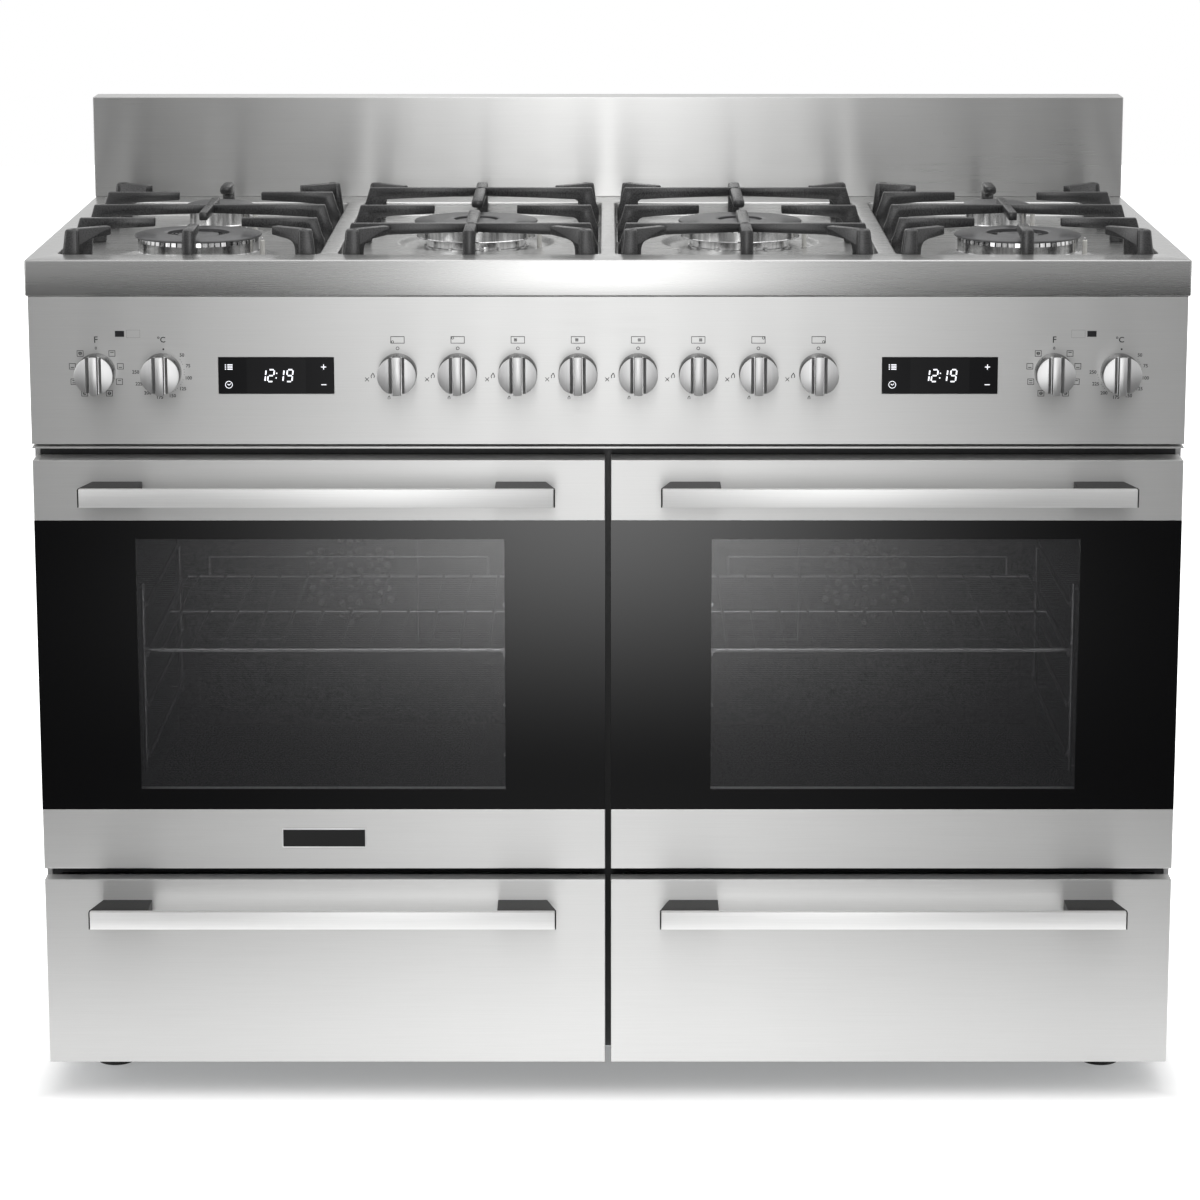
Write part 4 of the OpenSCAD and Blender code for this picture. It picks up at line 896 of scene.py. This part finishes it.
class COOKER_OT_knobs(bpy.types.Operator):
    """Makes the knobs: a disc with a raised ridge between two grooves"""

    bl_idname = "cooker.knobs"
    bl_label = "Knobs"

    def execute(self, context):
        for node in GAS_KNOBS + FUNCTION_KNOBS + HEAT_KNOBS:
            self.knob(node)
        return {"FINISHED"}

    def knob(self, node):
        x, z = middle_of(node)
        low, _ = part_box(node)
        ridge_y, cheek_y, groove_y = low[1], low[1] + 4.5 * MM, low[1] + 8 * MM
        back_y = FRONT - 1 * MM
        radius, ridge, slope, step = 20 * MM, 4 * MM, 8.2 * MM, 0.4 * MM
        bm = bmesh.new()
        disc = bmesh.ops.create_circle(bm, cap_ends=True, segments=72, radius=radius)["verts"]
        upright = Matrix.Rotation(math.pi / 2, 3, "X")
        bmesh.ops.rotate(bm, cent=(0, 0, 0), matrix=upright, verts=disc)
        extrude(bm, [disc[0].link_faces[0]], (0, -1, 0))
        for cut in (-slope, -ridge - step, -ridge, ridge, ridge + step, slope):
            bmesh.ops.bisect_plane(
                bm, geom=bm.verts[:] + bm.edges[:] + bm.faces[:], plane_co=(cut, 0, 0),
                plane_no=(1, 0, 0), dist=1e-7,
            )
        for vert in bm.verts:
            across = abs(vert.co.x)
            if vert.co.y > -0.5:
                vert.co.y = back_y
            elif across < ridge + 0.1 * MM:
                vert.co.y = ridge_y
            elif across < slope - 0.1 * MM:
                vert.co.y = groove_y
            else:
                vert.co.y = cheek_y
        bmesh.ops.recalc_face_normals(bm, faces=bm.faces)
        rims = [edge for edge in bm.edges if self.is_rim(edge, radius, back_y)]
        bevel(bm, rims, 1.1 * MM, clamp_overlap=True)
        # Faces that look forward take the knob metal; the rim and the groove walls take its dark
        # copy, painted shade
        for face in bm.faces:
            face.material_index = 0 if abs(face.normal.y) > 0.3 else 1
        spindle = [(0, 0), (3, 0), (3, -36), (0, -36)]
        add_turned(bm, spindle, (0, back_y, 0), 24, (0, -1, 0))
        bmesh.ops.translate(bm, vec=(x, 0, z), verts=bm.verts)
        make_piece(f"{node}_grip", bm, node, ["Knob metal", "Knob side shade"], [node], 30)

    def is_rim(self, edge, radius, back_y):
        """Whether an edge runs round the knob's front."""
        ends = [vert.co for vert in edge.verts]
        return (
            len(edge.link_faces) == 2
            and all(math.hypot(end.x, end.z) > radius - 0.5 * MM for end in ends)
            and min(end.y for end in ends) < back_y - 1 * MM
            and edge.calc_face_angle() > math.radians(50)
            and abs(ends[0].y - ends[1].y) < 1 * MM
        )


class COOKER_OT_panel_marks(bpy.types.Operator):
    """Prints the marks and dial numbers on the control panel"""

    bl_idname = "cooker.panel_marks"
    bl_label = "Panel marks"

    def execute(self, context):
        marks = Print(FRONT)
        for number, node in enumerate(GAS_KNOBS):
            marks.place = middle_of(node)
            self.gas_marks(marks, number)
        for node in FUNCTION_KNOBS:
            marks.place = middle_of(node)
            self.function_marks(marks)
        for node in HEAT_KNOBS:
            marks.place = middle_of(node)
            self.heat_marks(marks)
        for side, name in zip((-1, 1), SIDES):
            self.oven_mark(marks, side, name)
        marks.finish("panel_marks", "Panel ink", "brushed_stainless")
        return {"FINISHED"}

    def gas_marks(self, marks, number):
        """The burner plan over a knob, its off ring and cross, the large and the small flame."""
        line, plan_z = 0.6, 33.7
        marks.ring(0, 24.9, 1.5, line)
        marks.outline(0, plan_z, 14.4, 7.4, line)
        across = (-5.2, -5.2, -2.4, -1.2, 1.2, 2.4, 5.2, 5.2)[number]
        spot_z = plan_z + (-2, 2, 0, 0, 0, 0, 2, -2)[number]
        if number in (2, 3, 4, 5):
            marks.outline(across, spot_z, 3, 3, line)
            marks.patch(across, spot_z, 1.2, 1.2)
        else:
            marks.ring(across, spot_z, 1.2, 0.55)
        left, right, low, high = -33.9, -29.9, -9.5, -5.5
        marks.stroke(left, low, right, high, line)
        marks.stroke(left, high, right, low, line)
        marks.flame(-25.9, -3.5, 5.4, 0.75)
        marks.flame(-9.3, -26.5, 3.6, line)

    def function_marks(self, marks):
        """Eight small fields with bars and a fan round the knob."""
        marks.words("F", 9.5, 0, 33.6)
        marks.words("0", 4.2, 0, 25)
        for index, degrees in enumerate((40, 76, 113, 150, 210, 247, 284, 320)):
            turn = math.radians(degrees)
            x, z = 25.5 * math.sin(turn), 25.5 * math.cos(turn)
            marks.outline(x, z, 6.8, 6.4, 0.55)
            if index in (0, 2, 5, 7):
                marks.patch(x, z + 1.2, 3.4, 0.7)
            if index in (1, 5, 6):
                marks.patch(x, z - 1.2, 3.4, 0.7)
            if index in (3, 4, 7):
                marks.ring(x, z, 1.4, 0.7)
                marks.stroke(x - 1.8, z, x + 1.8, z, 0.6)

    def heat_marks(self, marks):
        """Plain numbers from 50 to 250 round the knob, with dots between them."""
        marks.words("°C", 8.2, -0.5, 33.6)
        marks.dot(1.5, 24, 1.0)
        first, last, steps = 48, 270, 8
        for step in range(steps + 1):
            turn = math.radians(first + (last - first) * step / steps)
            x, z = 1.04 * 26.5 * math.sin(turn), 26.5 * math.cos(turn)
            marks.words(str(50 + 25 * step), 4.9, x, z)
            if step == steps:
                break
            for part in (1, 2, 3):
                turn = math.radians(first + (last - first) * (step + part / 4) / steps)
                marks.dot(22.6 * math.sin(turn), 22.6 * math.cos(turn), 0.35, 6)

    def oven_mark(self, marks, side, name):
        """Two small fields that show which oven the knobs are for."""
        function_x, z = middle_of(f"function_knob_{name}")
        heat_x, _ = middle_of(f"temperature_knob_{name}")
        marks.place = ((function_x + heat_x) / 2, z)
        own = 4.5 if side > 0 else -9.3
        marks.patch(own, 40, 9.5, 6.2)
        marks.outline(own - side * 14, 40, 14, 8, 0.12)


SEGMENTS = {"1": "bc", "2": "abged", "9": "abcdfg"}


class COOKER_OT_displays(bpy.types.Operator):
    """Lights the clock digits and symbols on the two displays"""

    bl_idname = "cooker.displays"
    bl_label = "Displays"

    def execute(self, context):
        low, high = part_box("timer_displays")
        z = (low[2] + high[2]) / 2
        lights = Print(low[1])
        panes = Print(low[1] + 0.02 * MM, 0.05 * MM)
        for side in (-1, 1):
            lights.place = panes.place = (side * (high[0] - 63.5 * MM), z)
            panes.patch(0, 0, 61, 36)
            for figure, across in zip("1219", (-13.9, -5.4, 4.6, 13.9)):
                self.figure(lights, figure, across)
            for up in (-2.4, 2.4):
                lights.patch(0.2 + up * 0.12, up, 1.3, 1.3)
            self.symbols(lights)
        panes.finish("display_windows", "Display window", "display_glass")
        lights.finish("display_digits", "Display light", "display_glass")
        return {"FINISHED"}

    def figure(self, lights, figure, across):
        """One slanted figure of seven bars."""
        half_w, half_h, bar, slant, gap = 2.9, 6.2, 1.45, 0.12, 0.8
        bars = {
            "a": (-half_w + gap, half_h, half_w - gap, half_h),
            "b": (half_w, half_h - gap, half_w, gap),
            "c": (half_w, -gap, half_w, gap - half_h),
            "d": (-half_w + gap, -half_h, half_w - gap, -half_h),
            "e": (-half_w, -gap, -half_w, gap - half_h),
            "f": (-half_w, half_h - gap, -half_w, gap),
            "g": (-half_w + gap, 0, half_w - gap, 0),
        }
        for name in SEGMENTS[figure]:
            x0, z0, x1, z1 = bars[name]
            lights.stroke(across + x0 + z0 * slant, z0, across + x1 + z1 * slant, z1, bar)

    def symbols(self, lights):
        """A list and a clock on the left, plus and minus on the right."""
        left, right, up, down = -49, 49, 9, -9.5
        for row in (-2.2, 0, 2.2):
            lights.patch(left - 3.2, up + row, 1.2, 1.1)
            lights.patch(left + 1.4, up + row, 5.4, 1.1)
        lights.ring(left, down, 3.6, 0.6)
        lights.stroke(left - 1.5, down + 0.8, left, down - 0.6, 0.6)
        lights.stroke(left, down - 0.6, left + 1.9, down + 1.1, 0.6)
        lights.patch(right, up, 5.4, 0.8)
        lights.patch(right, up, 0.8, 5.4)
        lights.patch(right, down, 5.4, 0.8)


WINDOW_HALF = (192 * MM, 135 * MM)
WINDOW_LIFT = 1 * MM


class COOKER_OT_door_glass(bpy.types.Operator):
    """Makes the black door glass with its clear, finely lined window"""

    bl_idname = "cooker.door_glass"
    bl_label = "Door glass"

    def execute(self, context):
        for side in SIDES:
            self.border(side)
            self.window(side)
        return {"FINISHED"}

    def window_box(self, side):
        """The clear window's ends across and up, a little above the pane's middle."""
        x, z = middle_of(f"door_glass_{side}")
        half_w, half_h = WINDOW_HALF
        z += WINDOW_LIFT
        return (x - half_w, x + half_w), (z - half_h, z + half_h)

    def border(self, side):
        node = f"door_glass_{side}"
        low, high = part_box(node)
        (x0, x1), (z0, z1) = self.window_box(side)
        bm = bmesh.new()
        verts = bmesh.ops.create_grid(bm, x_segments=3, y_segments=3, size=1.5)["verts"]
        xs, zs = (low[0], x0, x1, high[0]), (low[2], z0, z1, high[2])
        for vert in verts:
            column, row = round(vert.co.x + 1.5), round(vert.co.y + 1.5)
            vert.co = (xs[column], low[1], zs[row])
        centres = {face: face.calc_center_median() for face in bm.faces}
        hole = [face for face, at in centres.items() if x0 < at.x < x1 and z0 < at.z < z1]
        bmesh.ops.delete(bm, geom=hole, context="FACES")
        extrude(bm, bm.faces[:], (0, high[1] - low[1], 0))
        name = f"glass_border_{side}"
        make_piece(name, bm, f"door_{side}", ["Door glass"], [node])

    def window(self, side):
        node = f"door_glass_{side}"
        low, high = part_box(node)
        (x0, x1), (z0, z1) = self.window_box(side)
        bm = bmesh.new()
        inset = 0.4 * MM
        add_box(bm, (x0, low[1] + inset, z0), (x1, high[1] - inset, z1))
        name = f"glass_window_{side}"
        make_piece(name, bm, f"door_{side}", ["Window glass"], [node])


class COOKER_OT_handles(bpy.types.Operator):
    """Makes the handle bars and their black end brackets"""

    bl_idname = "cooker.handles"
    bl_label = "Handles"

    def execute(self, context):
        for side in SIDES:
            self.handle(f"door_handle_{side}", f"door_{side}")
            self.handle(f"drawer_handle_{side}", f"drawer_{side}")
        return {"FINISHED"}

    def handle(self, node, body):
        low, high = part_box(node)
        lip, length, slant = 1.4 * MM, 62 * MM, 10 * MM
        back, rear = low[1] + 7 * MM, high[1]
        bar = bmesh.new()
        corner = (high[0] - lip, back - 0.1 * MM, high[2])
        add_box(bar, (low[0] + lip, low[1], low[2]), corner, 0.7 * MM)
        make_piece(f"{node}_bar", bar, body, ["Handle bar"], [node])
        brackets = bmesh.new()
        outline = (
            (0, low[1]), (lip * 0.8, low[1]), (lip * 0.8, back), (length, back), (length, rear),
            (slant, rear), (0, back),
        )
        flat = [(x, -y) for x, y in outline]
        level = Matrix.Rotation(math.pi / 2, 4, "X")
        for end, side in ((low[0], 1), (high[0], -1)):
            place = Matrix.Translation((end, 0, (low[2] + high[2]) / 2))
            place = place @ Matrix.Scale(side, 4, (1, 0, 0)) @ level
            add_prism(brackets, flat, high[2] - low[2], place, 0.35 * MM, 1)
        name = f"{node}_brackets"
        make_piece(name, brackets, body, ["Black plastic"], [node])


class COOKER_OT_bare_plate(bpy.types.Operator):
    """Makes the small bare plate on the left door's lower band"""

    bl_idname = "cooker.bare_plate"
    bl_label = "Bare plate"

    def execute(self, context):
        low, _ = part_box("door_frame_left")
        x, _ = middle_of("door_frame_left")
        z, front = low[2] + 33.7 * MM, low[1]
        line, half_w, half_h = 1.3 * MM, 44.5 * MM, 10.5 * MM
        rim = bmesh.new()
        near = (x - half_w, front - 0.8 * MM, z - half_h)
        add_box(rim, near, (x + half_w, front, z + half_h), 0.4 * MM)
        make_piece("plate_rim", rim, "door_left", ["Plate rim"])
        field = bmesh.new()
        near = (x - half_w + line, front - 0.95 * MM, z - half_h + line)
        far = (x + half_w - line, front - 0.5 * MM, z + half_h - line)
        add_box(field, near, far, 0.1 * MM, 1)
        make_piece("plate_field", field, "door_left", ["Black plastic"])
        return {"FINISHED"}


CARD_WALL = (
    (-0.35, 0.006), (-3.0, 0.012), (-3.8, 0.25), (-4.5, 0.9), (-4.9, 1.8), (-5.0, 3.2),
)
CARD_CEILING = (
    (-4.4, 4.8), (-3.0, 6.0), (-1.0, 6.6), (1.5, 6.4), (3.4, 5.2), (4.4, 3.6), (4.8, 2.2),
)
CARD_HALF = 4.0
FLOOR_RADIUS = 9.0
# Place, target, width and height of each lamp
LAMPS = {
    "top light": ((0.2, 0.4, 3.2), (0.0, 0.1, 0.6), 2.6, 2.0),
    "left light": ((-3.4, -2.6, 2.2), (0.0, 0.0, 0.5), 1.6, 2.2),
}


class COOKER_OT_stage(bpy.types.Operator):
    """Sets the floor, the light and the camera"""

    bl_idname = "cooker.stage"
    bl_label = "Stage"

    def execute(self, context):
        stage = context.scene.cooker_stage
        context.scene.view_settings.view_transform = "Standard"
        self.floor(context)
        self.world(context, stage)
        self.card(context, stage)
        for name, settings in LAMPS.items():
            self.lamp(context, name, *settings, stage.lamps)
        self.camera(context, stage)
        return {"FINISHED"}

    def seen(self, tree):
        """1 for a ray that shows the background: from the camera, off metal or through glass."""
        ray = add_node(tree, "LightPath").outputs
        off_metal = calc(tree, "MAXIMUM", ray["Is Camera Ray"], ray["Is Glossy Ray"])
        return calc(tree, "MAXIMUM", off_metal, ray["Is Transmission Ray"])

    def put(self, context, name, bm, material_name):
        """Stands a piece on the stage, and returns it with its material's empty node tree."""
        mesh = bpy.data.meshes.new(name)
        bm.to_mesh(mesh)
        bm.free()
        piece = bpy.data.objects.new(name, mesh)
        context.scene.collection.objects.link(piece)
        material = bpy.data.materials.new(material_name)
        material.use_nodes = True
        material.node_tree.nodes.clear()
        mesh.materials.append(material)
        return piece, material.node_tree

    def floor(self, context):
        """A pale floor that keeps the cooker's real shadow and turns white round it; its glow is
        weaker under the cooker and just round its outline, painted shade on top of the real shadow.
        """
        bm = bmesh.new()
        bmesh.ops.create_circle(bm, cap_ends=True, segments=64, radius=FLOOR_RADIUS)
        _, tree = self.put(context, "floor", bm, "Studio floor")
        x, y, _ = axes_of(tree, "Object")
        beside = calc(tree, "SUBTRACT", calc(tree, "ABSOLUTE", x), HOB_HIGH[0])
        before = calc(tree, "SUBTRACT", calc(tree, "ABSOLUTE", y), -FRONT)
        # Weak glow under the cooker and within a few centimetres of its outline: painted shade at
        # the cooker's foot
        lift = rise(tree, calc(tree, "MAXIMUM", beside, before), -0.03, 0.09)
        white = calc(tree, "MULTIPLY_ADD", lift, 0.95, 0.2)
        strength = calc(tree, "MULTIPLY", white, self.seen(tree))
        matt = add_node(tree, "BsdfDiffuse", {"Color": (0.82, 0.82, 0.82, 1)})
        glow = add_node(tree, "Emission", {"Strength": strength})
        both = add_node(tree, "AddShader", {0: matt.outputs["BSDF"], 1: glow.outputs["Emission"]})
        add_node(tree, "OutputMaterial", {"Surface": both.outputs["Shader"]})

    def world(self, context, stage):
        """White where it is seen, also in metal and glass; as light, weaker from the front."""
        world = bpy.data.worlds.new("Studio")
        context.scene.world = world
        world.use_nodes = True
        tree = world.node_tree
        tree.nodes.clear()
        _, y, _ = axes_of(tree, "Generated")
        room = spread(tree, y, stage.level, 0.8, -0.7, 0.1)
        sockets = {"Factor": self.seen(tree), "A": room, "B": 1.0}
        strength = add_node(tree, "Mix", sockets, data_type="FLOAT").outputs["Result"]
        back = add_node(tree, "Background", {"Color": (1, 1, 1, 1), "Strength": strength})
        add_node(tree, "OutputWorld", {"Surface": back.outputs["Background"]})

    def card(self, context, stage):
        """A light sheet on the floor before the cooker, up behind the camera and overhead.

        Only the gloss sees it. It is bright in the middle and fades to both ends and towards the
        cooker, and its ceiling is a plain grey.
        """
        bm = bmesh.new()
        line = [bm.verts.new((-CARD_HALF, FRONT + y, z)) for y, z in CARD_WALL + CARD_CEILING]
        edges = [bm.edges.new(pair) for pair in zip(line, line[1:])]
        made = bmesh.ops.extrude_edge_only(bm, edges=edges)["geom"]
        bmesh.ops.translate(bm, vec=(2 * CARD_HALF, 0, 0), verts=verts_of(made))
        card, tree = self.put(context, "light card", bm, "Light card")
        x, y, z = axes_of(tree, "Object")
        across = calc(tree, "SUBTRACT", x, stage.card_middle)
        across = calc(tree, "DIVIDE", across, stage.card_width)
        fall = calc(tree, "MULTIPLY", calc(tree, "MULTIPLY", across, across), -0.5)
        bell = calc(tree, "POWER", math.e, fall)
        near = rise(tree, y, FRONT - 1.2, FRONT - 3.2)
        far = rise(tree, y, FRONT - 2.8, FRONT - 4.2)
        middle = calc(tree, "MULTIPLY_ADD", near, stage.card, 0.22)
        ends = calc(tree, "MULTIPLY_ADD", far, stage.card_ends, 0.065)
        front = calc(tree, "MULTIPLY_ADD", bell, middle, ends)
        overhead = rise(tree, y, FRONT - 5.0, FRONT - 4.0)
        overhead = calc(tree, "MULTIPLY", overhead, rise(tree, z, 1.9, 2.2))
        level = calc(tree, "MULTIPLY_ADD", overhead, stage.ceiling, front)
        glow = add_node(tree, "Emission", {"Strength": level})
        add_node(tree, "OutputMaterial", {"Surface": glow.outputs["Emission"]})
        card.visible_camera = False
        card.visible_diffuse = False
        card.visible_shadow = False

    def lamp(self, context, name, place, target, width, height, power):
        light = bpy.data.lights.new(name, "AREA")
        light.shape = "RECTANGLE"
        light.size = width
        light.size_y = height
        light.energy = power
        lamp = bpy.data.objects.new(name, light)
        lamp.location = place
        aim = Vector(target) - Vector(place)
        lamp.rotation_euler = aim.to_track_quat("-Z", "Y").to_euler()
        context.scene.collection.objects.link(lamp)

    def camera(self, context, stage):
        camera = bpy.data.cameras.new("camera")
        camera.lens = stage.lens
        camera.sensor_width = 36
        camera.shift_x, camera.shift_y = stage.shift
        holder = bpy.data.objects.new("camera", camera)
        holder.location = (0, FRONT - stage.distance, stage.height)
        holder.rotation_euler = (math.pi / 2 - stage.tilt, 0, 0)
        context.scene.collection.objects.link(holder)
        context.scene.camera = holder


OPERATORS = (
    COOKER_OT_stage,
    COOKER_OT_finishes,
    COOKER_OT_carried_pieces,
    COOKER_OT_hob,
    COOKER_OT_burners,
    COOKER_OT_pan_supports,
    COOKER_OT_knobs,
    COOKER_OT_panel_marks,
    COOKER_OT_displays,
    COOKER_OT_door_glass,
    COOKER_OT_handles,
    COOKER_OT_bare_plate,
)


class COOKER_PT_sidebar(bpy.types.Panel):
    """Lists the cooker's operators and settings"""

    bl_idname = "COOKER_PT_sidebar"
    bl_label = "Range Cooker"
    bl_space_type = "VIEW_3D"
    bl_region_type = "UI"
    bl_category = "Cooker"

    def draw(self, context):
        for operator in OPERATORS:
            self.layout.operator(operator.bl_idname)
        for name, group in SETTINGS.items():
            box = self.layout.box()
            for key in group.__annotations__:
                box.prop(getattr(context.scene, name), key)


def register():
    for group in SETTINGS.values():
        bpy.utils.register_class(group)
    for name, group in SETTINGS.items():
        setattr(bpy.types.Scene, name, bpy.props.PointerProperty(type=group))
    for operator in OPERATORS:
        bpy.utils.register_class(operator)
    bpy.utils.register_class(COOKER_PT_sidebar)


def unregister():
    bpy.utils.unregister_class(COOKER_PT_sidebar)
    for operator in reversed(OPERATORS):
        bpy.utils.unregister_class(operator)
    for name in SETTINGS:
        delattr(bpy.types.Scene, name)
    for group in SETTINGS.values():
        bpy.utils.unregister_class(group)


def main():
    register()
    bpy.ops.cooker.stage()
    bpy.ops.cooker.finishes()
    bpy.ops.cooker.carried_pieces()
    bpy.ops.cooker.hob()
    bpy.ops.cooker.burners()
    bpy.ops.cooker.pan_supports()
    bpy.ops.cooker.knobs()
    bpy.ops.cooker.panel_marks()
    bpy.ops.cooker.displays()
    bpy.ops.cooker.door_glass()
    bpy.ops.cooker.handles()
    bpy.ops.cooker.bare_plate()


if __name__ == "__main__":
    main()
